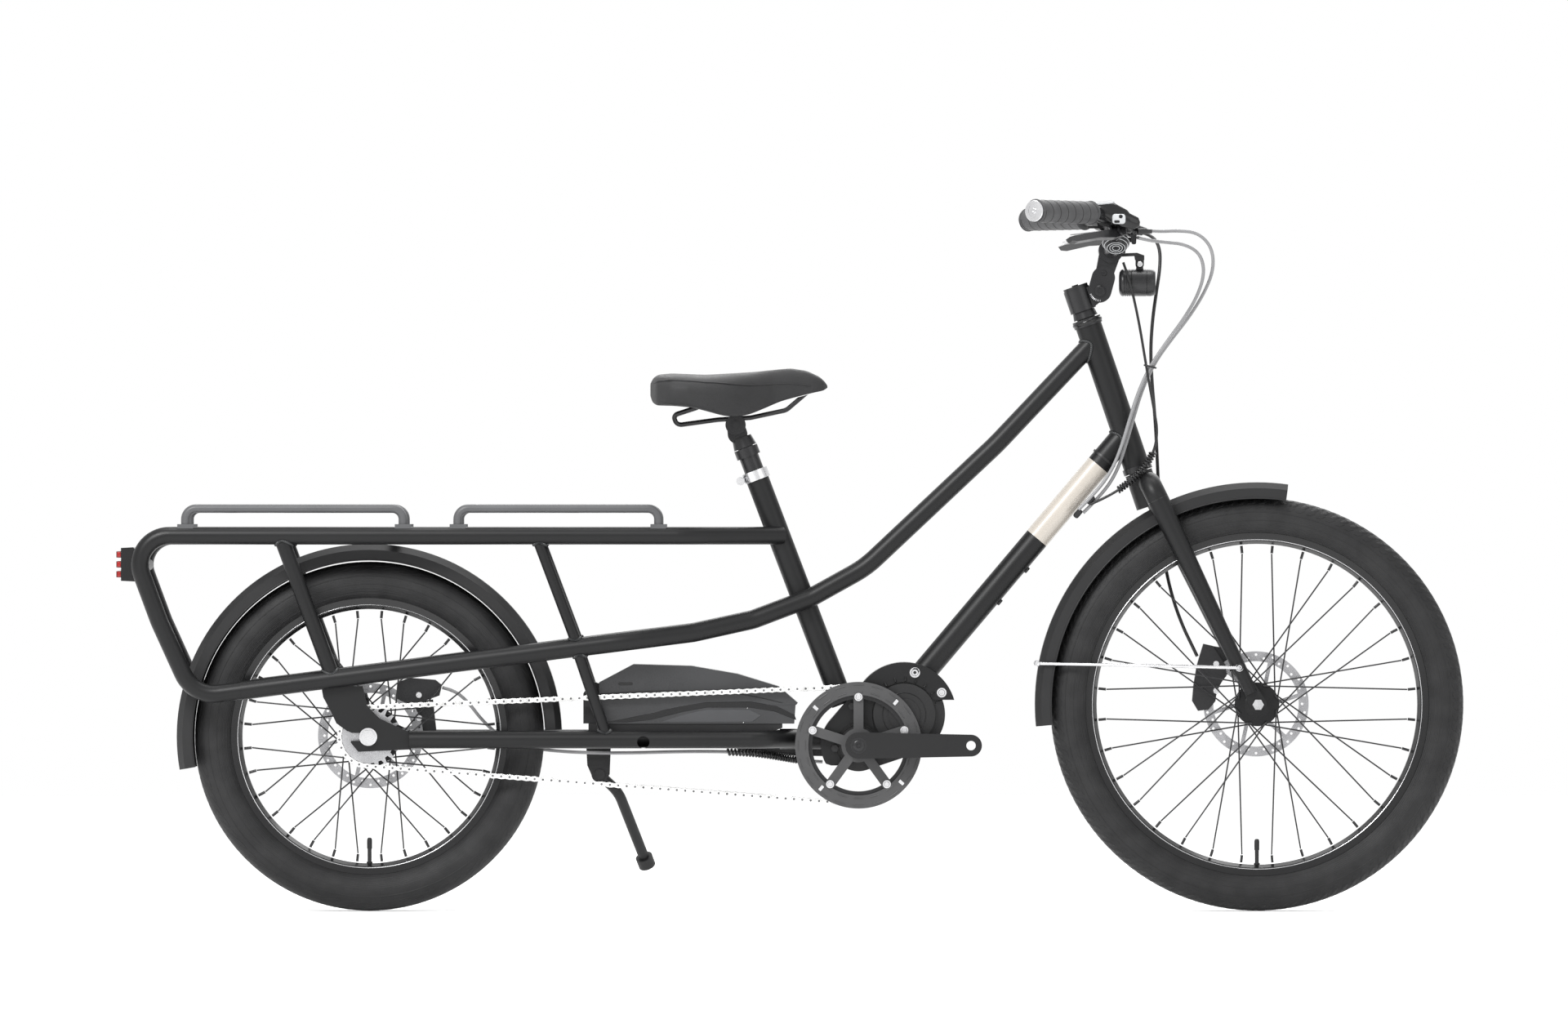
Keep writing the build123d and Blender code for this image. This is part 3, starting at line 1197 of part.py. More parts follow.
def main():
    envelopes = rack_envelopes()

    # frame
    save("head_tube", head_tube())
    save("down_tube", down_tube())
    bracket = motor_bracket()
    save("seat_tube", seat_tube() - bracket)
    save("motor_bracket", bracket)
    save("twin_tubes", *both(twin_tube_right()))
    save("lower_rails", *both(lower_rail_right()))
    save("rack_rails", *both(rear_loop_right()), *both(rack_rail_right()))
    save("rack_struts", *rack_struts(envelopes), *rack_cross_tubes(envelopes), *battery_bridges(envelopes))
    plate = dropout_right(envelopes)
    save("chainstays", chainstay_right(), chainstay_left(), stay_yoke(), *both(plate))
    bars = [deck_rail(*ends) for ends in DECK_BARS]
    save("deck_rails", *both(bars[0]), *both(bars[1]))
    save("seat_clamp", seat_clamp(), seat_clamp_bolt())
    save("bearings", headset_cup(-9.0, 0.0, 22.5), headset_cup(HEAD_LENGTH, HEAD_LENGTH + 11.0, 22.0),
         *crank_bearings())

    # motor, battery and drive
    save("motor_housing", motor_housing())
    save("motor_covers", *motor_cover(), *motor_rotor_cap(), *motor_bolts())
    save("battery_case", battery_case(), battery_lock_block())
    save("battery_tray", battery_tray(), battery_socket())
    save("chain", *chain())
    save("crank_arms", crank_arm(1), left(crank_arm(-1)), crank_spindle())
    save("chainring", chainring())
    save("chainring_guard", chainring_spider(), chainring_guard())
    save("rear_cog", rear_cog(), cog_driver())

    # wheels
    save("front_tyre", tyre(FRONT_AXLE_X, FRONT_AXLE_Z, FRONT_BEAD_R, 60.0),
         inner_tube(FRONT_AXLE_X, FRONT_AXLE_Z, FRONT_BEAD_R, 60.0))
    save("rear_tyre", tyre(REAR_AXLE_X, REAR_AXLE_Z, REAR_BEAD_R, 62.0),
         inner_tube(REAR_AXLE_X, REAR_AXLE_Z, REAR_BEAD_R, 62.0))
    save("front_rim", rim(FRONT_AXLE_X, FRONT_AXLE_Z, FRONT_BEAD_R), valve(FRONT_AXLE_X, FRONT_AXLE_Z,
            FRONT_BEAD_R))
    save("rear_rim", rim(REAR_AXLE_X, REAR_AXLE_Z, REAR_BEAD_R), valve(REAR_AXLE_X, REAR_AXLE_Z, REAR_BEAD_R))
    front = (FRONT_AXLE_X, FRONT_AXLE_Z, 29.5, FRONT_FLANGES, 3, FRONT_BEAD_R - 24.0, 5.6)
    rear = (REAR_AXLE_X, REAR_AXLE_Z, 43.0, REAR_FLANGES, 2, REAR_BEAD_R - 24.0, 5.6)
    save("front_spokes", *laced_spokes(*front), *nipples(*front))
    save("rear_spokes", *laced_spokes(*rear), *nipples(*rear))
    save("front_hub", front_hub(), brake_disc(FRONT_AXLE_X, FRONT_AXLE_Z, 38.0, 39.8, 23.0))
    save("rear_hub", rear_hub(), brake_disc(REAR_AXLE_X, REAR_AXLE_Z, 51.0, 52.8, 23.0))
    save("front_axle", axle(FRONT_AXLE_X, FRONT_AXLE_Z, 5.0, 66.0),
         *axle_nuts(FRONT_AXLE_X, FRONT_AXLE_Z, 15.0, 59.0, 65.0, 5.0))
    save("rear_axle", axle(REAR_AXLE_X, REAR_AXLE_Z, 6.0, 86.0),
         *axle_nuts(REAR_AXLE_X, REAR_AXLE_Z, 19.0, 76.5, 84.5, 6.0), *axle_washers())

    # fork, fenders and brakes
    save("fork_legs", *both(fork_leg_right()), *both(fork_end_right()))
    save("fork_crown", fork_crown(), fork_steerer())
    save("front_fender", front_fender(), *front_fender_stays())
    save("rear_fender", rear_fender(), *rear_fender_brackets())
    save("front_caliper", front_caliper())
    save("rear_caliper", rear_caliper(envelopes))

    # stem, bar and controls
    save("stem_clamp", stem_clamp(), stem_top_cap(), headset_spacer())
    save("stem_arm", stem_arm(), stem_pivot_bolt())
    save("handlebar", handlebar())
    save("grips", *both(grip_right()), *both(grip_cap_right()))
    body, lever = brake_body_right(), brake_lever_right()
    save("brake_bodies", *both(body), *both(brake_pin_right() - body))
    save("brake_lever_right", lever)
    save("brake_lever_left", left(lever))
    save("display_unit", display_unit())
    save("shift_lever", shift_lever())
    save("bell", bell(), striker_bracket() - bell())
    save("bell_striker", bell_striker())
    save("headlight_bracket", headlight_bracket(), headlight_hinge_bolt() - headlight_bracket())
    save("headlight", headlight_body(), headlight_lens())
    save("tail_light", tail_light(), *tail_light_lenses())

    # seat, stand and cables
    save("seatpost", seatpost(), seatpost_collar())
    save("seatpost_head", seatpost_head(), saddle_bolt() - seatpost_head())
    save("saddle_rails", *both(saddle_wire()), *seat_clamp_disc())
    save("saddle", saddle_body())
    save("kickstand_bracket", kickstand_bracket(envelopes), kickstand_pin())
    save("kickstand_leg", kickstand_leg(), kickstand_foot())
    hoses = [cord(REAR_BRAKE_HOSE, HOSE_R, "rear_brake_hose"), cord(SHIFT_HOSE, HOSE_R, "shift_hose")]
    save("control_hoses", *hoses, cord(DISPLAY_CABLE, 2.0, "display_cable"))
    save("front_brake_hose", cord(FRONT_BRAKE_HOSE, HOSE_R, "front_brake_hose"))
    save("stay_hose", cord(STAY_HOSE, HOSE_R, "stay_hose"))


main()
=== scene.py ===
"""The cargo bicycle's visual model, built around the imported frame.

Lengths are written in millimetres; MM turns them into the scene's metres.
"""
from math import asin, atan2, cos, hypot, pi, radians, sin, sqrt, tau

import bmesh
import bpy
from mathutils import Matrix, Vector


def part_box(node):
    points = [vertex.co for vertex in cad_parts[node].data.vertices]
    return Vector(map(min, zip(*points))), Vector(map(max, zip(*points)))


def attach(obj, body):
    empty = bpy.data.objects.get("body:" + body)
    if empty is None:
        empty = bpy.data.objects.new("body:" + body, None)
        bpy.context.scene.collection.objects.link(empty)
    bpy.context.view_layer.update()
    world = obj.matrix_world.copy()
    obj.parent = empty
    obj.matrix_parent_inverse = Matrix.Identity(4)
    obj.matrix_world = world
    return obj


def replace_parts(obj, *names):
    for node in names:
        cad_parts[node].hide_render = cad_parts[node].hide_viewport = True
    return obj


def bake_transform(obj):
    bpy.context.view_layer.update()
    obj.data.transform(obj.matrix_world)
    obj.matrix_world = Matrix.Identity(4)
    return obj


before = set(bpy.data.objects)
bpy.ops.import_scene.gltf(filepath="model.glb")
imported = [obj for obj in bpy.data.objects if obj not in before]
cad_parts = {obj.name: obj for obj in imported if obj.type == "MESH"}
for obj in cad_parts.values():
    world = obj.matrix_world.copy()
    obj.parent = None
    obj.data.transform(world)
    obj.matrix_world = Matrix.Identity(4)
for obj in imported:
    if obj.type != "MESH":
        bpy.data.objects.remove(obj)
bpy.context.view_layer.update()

MM = 0.001
FRONT_AXLE = Vector((708.4, 0, 313.5))
REAR_AXLE = Vector((-638.9, 0, 265.0))
CRANK = Vector((103.2, 0, 252.1))
MOTOR = Vector((172.7, 0, 298.5))
FRONT_BEAD_R, REAR_BEAD_R = 253.5, 203.0
FRONT_TYRE_R, REAR_TYRE_R = 313.5, 265.0
TYRE_SECTION_R = 30.0
CHAIN_Y, CHAIN_PITCH = -47.0, 12.7
RING_TEETH, COG_TEETH = 44, 22
HEAD_BOTTOM, HEAD_ANGLE, HEAD_LENGTH = Vector((525.5, 0, 674.9)), radians(71.2), 225.3
SEAT_ANGLE, SEAT_TUBE_LENGTH = radians(69.2), 434.0
UP, AHEAD = Vector((0, 0, 1)), Vector((1, 0, 0))
ACROSS = Vector((0, 1, 0))
SIDES = (-1, 1)


def steer(along, ahead=0.0, y=0.0):
    """A point by its height along the steering axis and its offset ahead of it."""
    x = HEAD_BOTTOM.x - along * cos(HEAD_ANGLE) + ahead * sin(HEAD_ANGLE)
    return Vector((x, y, HEAD_BOTTOM.z + along * sin(HEAD_ANGLE) + ahead * cos(HEAD_ANGLE)))


def seat(along, ahead=0.0, y=0.0):
    """A point by its height along the seat tube and its offset ahead of it."""
    x = CRANK.x - along * cos(SEAT_ANGLE) + ahead * sin(SEAT_ANGLE)
    return Vector((x, y, CRANK.z + along * sin(SEAT_ANGLE) + ahead * cos(SEAT_ANGLE)))


def polar(centre, radius, angle, y=0.0):
    """A point about an axle, the angle in degrees from forward."""
    a = radians(angle)
    return Vector((centre.x + radius * cos(a), y, centre.z + radius * sin(a)))


def mirrored(point):
    return Vector((point[0], -point[1], point[2]))


# ---- node graphs
class Graph:
    """A material whose nodes are added by short calls."""

    def __init__(self, name):
        self.material = bpy.data.materials.new(name)
        self.material.use_nodes = True
        self.tree = self.material.node_tree
        self.shader = self.tree.nodes["Principled BSDF"]
        self.place = self.tree.nodes.new("ShaderNodeTexCoord").outputs["Object"]

    def feed(self, socket, value):
        if hasattr(value, "is_output"):
            self.tree.links.new(value, socket)
        else:
            socket.default_value = value

    def math(self, operation, a, b=0.0):
        node = self.tree.nodes.new("ShaderNodeMath")
        node.operation = operation
        self.feed(node.inputs[0], a)
        self.feed(node.inputs[1], b)
        return node.outputs[0]

    def vector(self, operation, a, b=(0, 0, 0), result="Vector"):
        node = self.tree.nodes.new("ShaderNodeVectorMath")
        node.operation = operation
        self.feed(node.inputs[0], a)
        self.feed(node.inputs[1], b)
        return node.outputs[result]

    def split(self, vector):
        node = self.tree.nodes.new("ShaderNodeSeparateXYZ")
        self.feed(node.inputs[0], vector)
        return node.outputs

    def noise(self, scale, detail=3.0):
        node = self.tree.nodes.new("ShaderNodeTexNoise")
        node.inputs["Scale"].default_value = scale
        node.inputs["Detail"].default_value = detail
        self.feed(node.inputs["Vector"], self.place)
        return node.outputs["Fac"]

    def cells(self, scale):
        """Distance to the nearest edge of a pattern of cells."""
        node = self.tree.nodes.new("ShaderNodeTexVoronoi")
        node.feature = "DISTANCE_TO_EDGE"
        node.inputs["Scale"].default_value = scale
        self.feed(node.inputs["Vector"], self.place)
        return node.outputs["Distance"]

    def remap(self, value, low, high, to_low=0.0, to_high=1.0):
        node = self.tree.nodes.new("ShaderNodeMapRange")
        self.feed(node.inputs["Value"], value)
        ends = {"From Min": low, "From Max": high, "To Min": to_low, "To Max": to_high}
        for name, number in ends.items():
            node.inputs[name].default_value = number
        return node.outputs["Result"]

    def mix(self, share, first, second):
        node = self.tree.nodes.new("ShaderNodeMix")
        node.data_type = "RGBA"
        self.feed(node.inputs["Factor"], share)
        for socket, colour in ((node.inputs["A"], first), (node.inputs["B"], second)):
            self.feed(socket, colour if hasattr(colour, "is_output") else (*colour, 1.0))
        return node.outputs["Result"]

    def radius(self, centre):
        """Distance from an axle, in metres, on a piece that turns with it."""
        offset = self.vector("SUBTRACT", self.place, tuple(centre * MM))
        return self.vector("LENGTH", self.vector("MULTIPLY", offset, (1, 0, 1)), result="Value")

    def bump(self, height, depth):
        node = self.tree.nodes.new("ShaderNodeBump")
        node.inputs["Distance"].default_value = depth
        node.inputs["Strength"].default_value = 1.0
        self.feed(node.inputs["Height"], height)
        self.tree.links.new(node.outputs["Normal"], self.shader.inputs["Normal"])

    def finish(self, colour, roughness, metallic=0.0, **constants):
        self.feed(self.shader.inputs["Base Color"], colour)
        self.feed(self.shader.inputs["Roughness"], roughness)
        self.feed(self.shader.inputs["Metallic"], metallic)
        for name, value in constants.items():
            self.shader.inputs[name.replace("_", " ")].default_value = value
        return self.material


def toned(colour, factor):
    return tuple(min(1.0, channel * factor) for channel in colour)


def finish(name, colour, roughness, metallic=0.0, spread=0.15, patch=14.0, grain=1600.0,
           depth=0.00004, specular=0.5, **constants):
    """A finish with slow colour variation, and a fine grain in gloss and surface."""
    g = Graph(name)
    slow = g.remap(g.noise(patch, 4.0), 0.3, 0.7)
    fine = g.noise(grain, 2.0)
    tone = g.mix(slow, toned(colour, 1 - spread), toned(colour, 1 + spread))
    speckle = g.remap(fine, 0.3, 0.7, roughness * 0.82, roughness * 1.12)
    gloss = g.math("ADD", speckle, g.remap(slow, 0, 1, -0.02, 0.03))
    g.bump(fine, depth)
    return g.finish(tone, gloss, metallic, Specular_IOR_Level=specular, **constants)


def brushed_disc(name, centre, colour, roughness, inner_colour=None, face_y=None, edge_r=None):
    """Metal turned on a lathe; past face_y it is the disc, and short of it the coated hub."""
    g = Graph(name)
    rings = g.math("SINE", g.math("MULTIPLY", g.radius(centre), 9000.0))
    fine = g.noise(900.0, 2.0)
    steel = g.mix(g.remap(g.noise(40.0), 0.3, 0.7), toned(colour, 0.86), toned(colour, 1.08))
    gloss = g.remap(fine, 0.3, 0.7, roughness * 0.8, roughness * 1.2)
    g.bump(g.math("ADD", rings, fine), 0.00001)
    if inner_colour is None:
        return g.finish(steel, gloss, 1.0)
    y = g.split(g.place)[1]
    side = g.math("GREATER_THAN", y, face_y * MM)
    far = g.math("GREATER_THAN", g.radius(centre), edge_r * MM)
    mask = g.math("MULTIPLY", side, far)
    tone = g.mix(mask, inner_colour, steel)
    gloss = g.math("ADD", gloss, g.remap(mask, 0, 1, 0.12, 0.0))
    return g.finish(tone, gloss, g.remap(mask, 0, 1, 0.55, 1.0))


def tyre_rubber(name, centre, bead_r, tyre_r):
    """Moulded rubber: fine rings on the sidewall, dusty towards the tread."""
    g = Graph(name)
    r = g.radius(centre)
    rings = g.math("SINE", g.math("MULTIPLY", r, 2600.0))
    wall = g.remap(r, (bead_r + 14) * MM, (tyre_r - 16) * MM, 1.0, 0.15)
    fine = g.noise(700.0, 4.0)
    dust = g.remap(g.noise(30.0, 5.0), 0.35, 0.75)
    colour = g.mix(dust, (0.0085, 0.0085, 0.009), (0.017, 0.017, 0.0175))
    g.bump(g.math("ADD", g.math("MULTIPLY", rings, wall), g.math("MULTIPLY", fine, 0.6)), 0.00012)
    return g.finish(colour, g.remap(fine, 0.3, 0.7, 0.5, 0.68), 0.0, Specular_IOR_Level=0.3)


def leather():
    """Soft matte saddle cover: pebble grain with painted shade in its creases, a little wear on the crown."""
    g = Graph("saddle leather")
    pebbles = g.cells(620.0)
    creases = g.remap(pebbles, 0.0, 0.14)
    slow = g.remap(g.noise(22.0, 5.0), 0.3, 0.7)
    colour = g.mix(slow, (0.012, 0.012, 0.0125), (0.02, 0.02, 0.021))
    # Darker at the pebble edges: painted shade in the creases of the grain.
    colour = g.mix(g.remap(pebbles, 0.0, 0.1), (0.008, 0.008, 0.0085), colour)
    g.bump(g.math("ADD", creases, g.math("MULTIPLY", g.noise(1500.0), 0.5)), 0.00016)
    return g.finish(colour, g.remap(slow, 0, 1, 0.46, 0.58), 0.0, Specular_IOR_Level=0.35)


def lens(name, colour, roughness, transmission):
    """A moulded lens with fine vertical flutes."""
    g = Graph(name)
    flutes = g.math("SINE", g.math("MULTIPLY", g.split(g.place)[1], 2200.0))
    tone = g.mix(g.remap(g.noise(60.0), 0.3, 0.7), toned(colour, 0.85), toned(colour, 1.1))
    g.bump(flutes, 0.00012)
    return g.finish(tone, roughness, 0.0, Transmission_Weight=transmission, IOR=1.49)


BLACK = (0.006, 0.006, 0.0065)
PAINT = finish("frame paint", (0.0055, 0.0056, 0.006), 0.42, 0.0, 0.12, 9.0, 2400.0, 0.00003, 0.27)
DECK = finish("deck paint", (0.07, 0.071, 0.074), 0.42, 0.0, 0.1, 12.0, 2400.0, 0.00003, 0.4)
CREAM = finish("cream decal film", (0.43, 0.395, 0.35), 0.34, 0.0, 0.05, 8.0, 900.0, 0.00001, Coat_Weight=0.5)
SILVER = finish("silver alloy", (0.63, 0.63, 0.64), 0.27, 1.0, 0.1, 30.0, 1400.0, 0.00003)
WELD = finish("weld bead", (0.02, 0.021, 0.022), 0.36, 0.0, 0.2, 60.0, 900.0, 0.00005, 0.45)
STEEL = finish("ground steel", (0.5, 0.5, 0.51), 0.3, 1.0, 0.12, 40.0, 1100.0, 0.00004)
CHAIN_STEEL = finish("plated chain steel", (0.82, 0.82, 0.81), 0.24, 1.0, 0.14, 90.0, 1500.0, 0.00003)
PIN_STEEL = finish("chain pin steel", (0.16, 0.16, 0.165), 0.34, 1.0, 0.2, 90.0, 1500.0, 0.00003)
BLACK_ALLOY = finish("black anodised alloy", (0.011, 0.011, 0.012), 0.3, 0.1, 0.15, 18.0, 1800.0,
                     0.00002, 0.4)
GLOSS_BLACK = finish("gloss black paint", BLACK, 0.2, 0.0, 0.1, 10.0, 900.0, 0.00001, 0.4)
MATTE_PLASTIC = finish("matte black plastic", (0.0095, 0.0095, 0.01), 0.52, 0.0, 0.15, 20.0, 1500.0,
                       0.00006, 0.32)
GUARD = finish("guard plastic", (0.05, 0.05, 0.051), 0.4, 0.0, 0.12, 20.0, 1500.0, 0.00005, 0.35)
CAST = finish("cast motor shell", (0.008, 0.008, 0.0085), 0.38, 0.05, 0.2, 26.0, 700.0, 0.0001, 0.4)
BATTERY_SHELL = finish("battery shell", (0.03, 0.0305, 0.032), 0.3, 0.0, 0.1, 12.0, 1600.0, 0.00004, 0.4)
BATTERY_PANEL = finish("battery panel", (0.04, 0.041, 0.044), 0.34, 0.0, 0.1, 12.0, 1600.0, 0.00004)
MATTE_SATIN = finish("satin black plastic", (0.014, 0.014, 0.015), 0.34, 0.0, 0.12, 24.0, 1600.0,
                     0.00004, 0.4)
GREY_PLASTIC = finish("silver grey plastic", (0.47, 0.48, 0.49), 0.34, 0.25, 0.08, 30.0, 1800.0, 0.00003)
GRIP = finish("grip wrap", (0.055, 0.055, 0.057), 0.55, 0.0, 0.2, 40.0, 1000.0, 0.00018, 0.35)
HOSE_GREY = finish("hose jacket", (0.2, 0.2, 0.205), 0.34, 0.0, 0.08, 30.0, 900.0, 0.00002, Coat_Weight=0.2)
HOSE_BLACK = finish("black cable jacket", (0.008, 0.008, 0.0085), 0.4, 0.0, 0.12, 30.0, 900.0, 0.00004, 0.4)
SPOKE = finish("black spoke steel", (0.012, 0.012, 0.013), 0.34, 0.2, 0.1, 60.0, 1400.0, 0.00002)
# Near-black for the grip groove, the battery seam and the battery window: painted shade of recesses, not a
# colour of the parts.
RECESS_SHADE = finish("painted recess shade", (0.006, 0.006, 0.006), 0.7, 0.0, 0.2, 60.0, 1400.0, 0.00004)
LEATHER = leather()
FRONT_RUBBER = tyre_rubber("front tyre rubber", FRONT_AXLE, FRONT_BEAD_R, FRONT_TYRE_R)
REAR_RUBBER = tyre_rubber("rear tyre rubber", REAR_AXLE, REAR_BEAD_R, REAR_TYRE_R)
FRONT_HUB = brushed_disc("front hub and disc", FRONT_AXLE, (0.36, 0.36, 0.37), 0.3, BLACK, 37.5, 24.5)
REAR_HUB = brushed_disc("rear hub and disc", REAR_AXLE, (0.36, 0.36, 0.37), 0.3, BLACK, 50.5, 24.5)
TURNED = brushed_disc("turned cog steel", REAR_AXLE, (0.42, 0.42, 0.43), 0.28)
CLEAR_LENS = lens("clear lamp lens", (0.9, 0.92, 0.94), 0.08, 0.9)
RED_LENS = lens("red lamp lens", (0.42, 0.012, 0.01), 0.16, 0.35)

NODE_FINISH = {
    PAINT: ("head_tube", "down_tube", "seat_tube", "motor_bracket", "twin_tubes", "lower_rails", "rack_rails",
            "rack_struts", "chainstays", "fork_legs", "fork_crown"),
    DECK: ("deck_rails",),
    STEEL: ("front_axle",),
    CAST: ("motor_housing", "motor_covers"),
    BATTERY_SHELL: ("battery_case",),
    MATTE_PLASTIC: ("battery_tray", "front_fender", "rear_fender", "kickstand_leg", "kickstand_bracket",
                    "shift_lever", "headlight_bracket"),
    GUARD: ("chainring_guard",),
    BLACK_ALLOY: ("chainring", "stem_clamp", "stem_arm", "handlebar", "seatpost", "seatpost_head",
                  "front_caliper", "rear_caliper", "brake_bodies", "bell", "bell_striker", "headlight",
                  "bearings", "saddle_rails", "brake_lever_right", "brake_lever_left"),
    GLOSS_BLACK: ("front_rim", "rear_rim", "crank_arms", "tail_light"),
    SPOKE: ("front_spokes", "rear_spokes"),
    FRONT_RUBBER: ("front_tyre",),
    REAR_RUBBER: ("rear_tyre",),
    FRONT_HUB: ("front_hub",),
    REAR_HUB: ("rear_hub",),
    TURNED: ("rear_cog",),
    MATTE_SATIN: ("display_unit",),
    SILVER: ("seat_clamp", "rear_axle"),
    GRIP: ("grips",),
    HOSE_GREY: ("stay_hose",),
}


def dress_nodes():
    for material, names in NODE_FINISH.items():
        for name in names:
            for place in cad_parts[name].material_slots:
                place.material = material


# ---- meshes
class Shape:
    """Vertices in millimetres and faces, gathered from simple swept forms."""

    def __init__(self):
        self.points = []
        self.faces = []

    def rings(self, rings, around=True, closed=False):
        """Skin a run of rings, each a list with the same number of points."""
        first = len(self.points)
        count = len(rings[0])
        for ring in rings:
            self.points += [Vector(point) for point in ring]
        spans = len(rings) if closed else len(rings) - 1
        for row in range(spans):
            here = first + row * count
            there = first + (row + 1) % len(rings) * count
            for step in range(count if around else count - 1):
                after = (step + 1) % count
                self.faces.append((here + step, here + after, there + after, there + step))
        if around and not closed:
            self.faces.append(tuple(first + step for step in reversed(range(count))))
            last = first + (len(rings) - 1) * count
            self.faces.append(tuple(last + step for step in range(count)))
        return self

    def lathe(self, origin, axis, profile, steps=32):
        """Turn (radius, height) pairs about an axis."""
        z, x, y = basis(axis)
        origin = Vector(origin)
        rings = []
        for radius, height in profile:
            radius = max(radius, 0.01)
            turn = [tau * step / steps for step in range(steps)]
            rings.append([origin + z * height + (x * cos(t) + y * sin(t)) * radius for t in turn])
        return self.rings(rings)

    def tube(self, path, radius, steps=12, closed=False):
        """A round tube along a path; radius is a number or a function of the point's number."""
        rings = []
        for number, (point, x, y) in enumerate(carried(path, closed)):
            r = radius(number) if callable(radius) else radius
            turn = [tau * step / steps for step in range(steps)]
            rings.append([point + (x * cos(t) + y * sin(t)) * r for t in turn])
        return self.rings(rings, closed=closed)

    def slab(self, outline, origin, x_dir, y_dir, low, high, chamfer=0.6):
        """A plate with its edges eased: outline points lie in the x_dir, y_dir plane."""
        x, y = Vector(x_dir).normalized(), Vector(y_dir).normalized()
        z = x.cross(y)
        origin = Vector(origin)
        inner = inset(outline, chamfer)
        rows = ((inner, low), (outline, low + chamfer), (outline, high - chamfer), (inner, high))
        return self.rings([[origin + x * u + y * v + z * h for u, v in points] for points, h in rows])

    def ring(self, centre, axis, radius, thick, steps, sides):
        """A round ring of round section about an axis."""
        z, x, y = basis(axis)
        turn = [tau * step / steps for step in range(steps)]
        path = [centre + (x * cos(t) + y * sin(t)) * radius for t in turn]
        return self.tube(path, thick, sides, closed=True)

    def bolt(self, origin, axis, radius, height):
        """A low round head with a hexagon socket in it."""
        z, x, y = basis(axis)
        origin = Vector(origin)
        steps = 24
        rows = [(radius, 0, False), (radius, height * 0.7, False), (radius * 0.86, height, False),
                (radius * 0.5, height, True), (radius * 0.47, height * 0.35, True)]
        rings = []
        for r, h, six in rows:
            ring = []
            for step in range(steps):
                t = tau * step / steps
                reach = r * cos(pi / 6) / cos((t % (pi / 3)) - pi / 6) if six else r
                ring.append(origin + z * h + (x * cos(t) + y * sin(t)) * reach)
            rings.append(ring)
        return self.rings(rings)


def basis(axis):
    """The axis and two directions square to it."""
    z = Vector(axis).normalized()
    helper = UP if abs(z.z) < 0.9 else AHEAD
    x = helper.cross(z).normalized()
    return z, x, z.cross(x)


def carried(path, closed=False):
    """Each point of a path with two square directions that turn with it."""
    path = [Vector(point) for point in path]
    count = len(path)
    _, x, _ = basis(path[1] - path[0])
    found = []
    for number, point in enumerate(path):
        ahead = path[(number + 1) % count] if closed or number < count - 1 else point
        behind = path[number - 1] if closed or number > 0 else point
        along = (ahead - behind).normalized()
        x = (x - along * x.dot(along)).normalized()
        found.append((point, x, along.cross(x)))
    return found


def inset(outline, distance):
    """The outline moved inwards by a distance, corner by corner."""
    count = len(outline)
    following = [outline[(i + 1) % count] for i in range(count)]
    area = sum(u * v2 - u2 * v for (u, v), (u2, v2) in zip(outline, following))
    turn = 1 if area > 0 else -1
    result = []
    for i, (u, v) in enumerate(outline):
        before = Vector((u - outline[i - 1][0], v - outline[i - 1][1])).normalized()
        after = Vector((following[i][0] - u, following[i][1] - v)).normalized()
        n1, n2 = Vector((-before.y, before.x)), Vector((-after.y, after.x))
        n = (n1 + n2).normalized() * turn
        reach = distance / max(0.5, n.dot(n1 * turn))
        result.append((u + n.x * reach, v + n.y * reach))
    return result


def rounded(width, height, corner):
    """A rectangle about the origin with round corners."""
    points, steps = [], 5
    for quarter, (sx, sy) in enumerate(((1, 1), (-1, 1), (-1, -1), (1, -1))):
        for step in range(steps + 1):
            t = pi / 2 * (quarter + step / steps)
            points.append((sx * (width / 2 - corner) + corner * cos(t),
                           sy * (height / 2 - corner) + corner * sin(t)))
    return points


def disc(radius, steps=28):
    return [(radius * cos(tau * s / steps), radius * sin(tau * s / steps)) for s in range(steps)]


def make(name, shape, material, body, crease=38.0, divide=0):
    """A finished piece on its body."""
    mesh = bpy.data.meshes.new(name)
    mesh.from_pydata([tuple(point * MM) for point in shape.points], [], shape.faces)
    bm = bmesh.new()
    bm.from_mesh(mesh)
    bmesh.ops.recalc_face_normals(bm, faces=bm.faces)
    bm.to_mesh(mesh)
    bm.free()
    mesh.polygons.foreach_set("use_smooth", [True] * len(mesh.polygons))
    mesh.set_sharp_from_angle(angle=radians(crease))
    mesh.materials.append(material)
    piece = bpy.data.objects.new(name, mesh)
    bpy.context.collection.objects.link(piece)
    if divide:
        modifier = piece.modifiers.new("smooth", "SUBSURF")
        modifier.levels = modifier.render_levels = divide
    if body:
        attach(piece, body)
    return piece


def smooth_line(points, resolution=10):
    """The points of the NURBS line whose control points these are, in millimetres."""
    curve = bpy.data.curves.new("route", "CURVE")
    curve.dimensions = "3D"
    spline = curve.splines.new("NURBS")
    spline.points.add(len(points) - 1)
    for place, point in zip(spline.points, points):
        place.co = (*(Vector(point) * MM), 1.0)
    spline.order_u = 3
    spline.use_endpoint_u = True
    spline.resolution_u = resolution
    carrier = bpy.data.objects.new("route", curve)
    bpy.context.collection.objects.link(carrier)
    bpy.context.view_layer.update()
    mesh = bpy.data.meshes.new_from_object(carrier)
    line = [vertex.co / MM for vertex in mesh.vertices]
    bpy.data.objects.remove(carrier)
    bpy.data.meshes.remove(mesh)
    bpy.data.curves.remove(curve)
    return line


def line_length(line):
    return sum((b - a).length for a, b in zip(line, line[1:]))


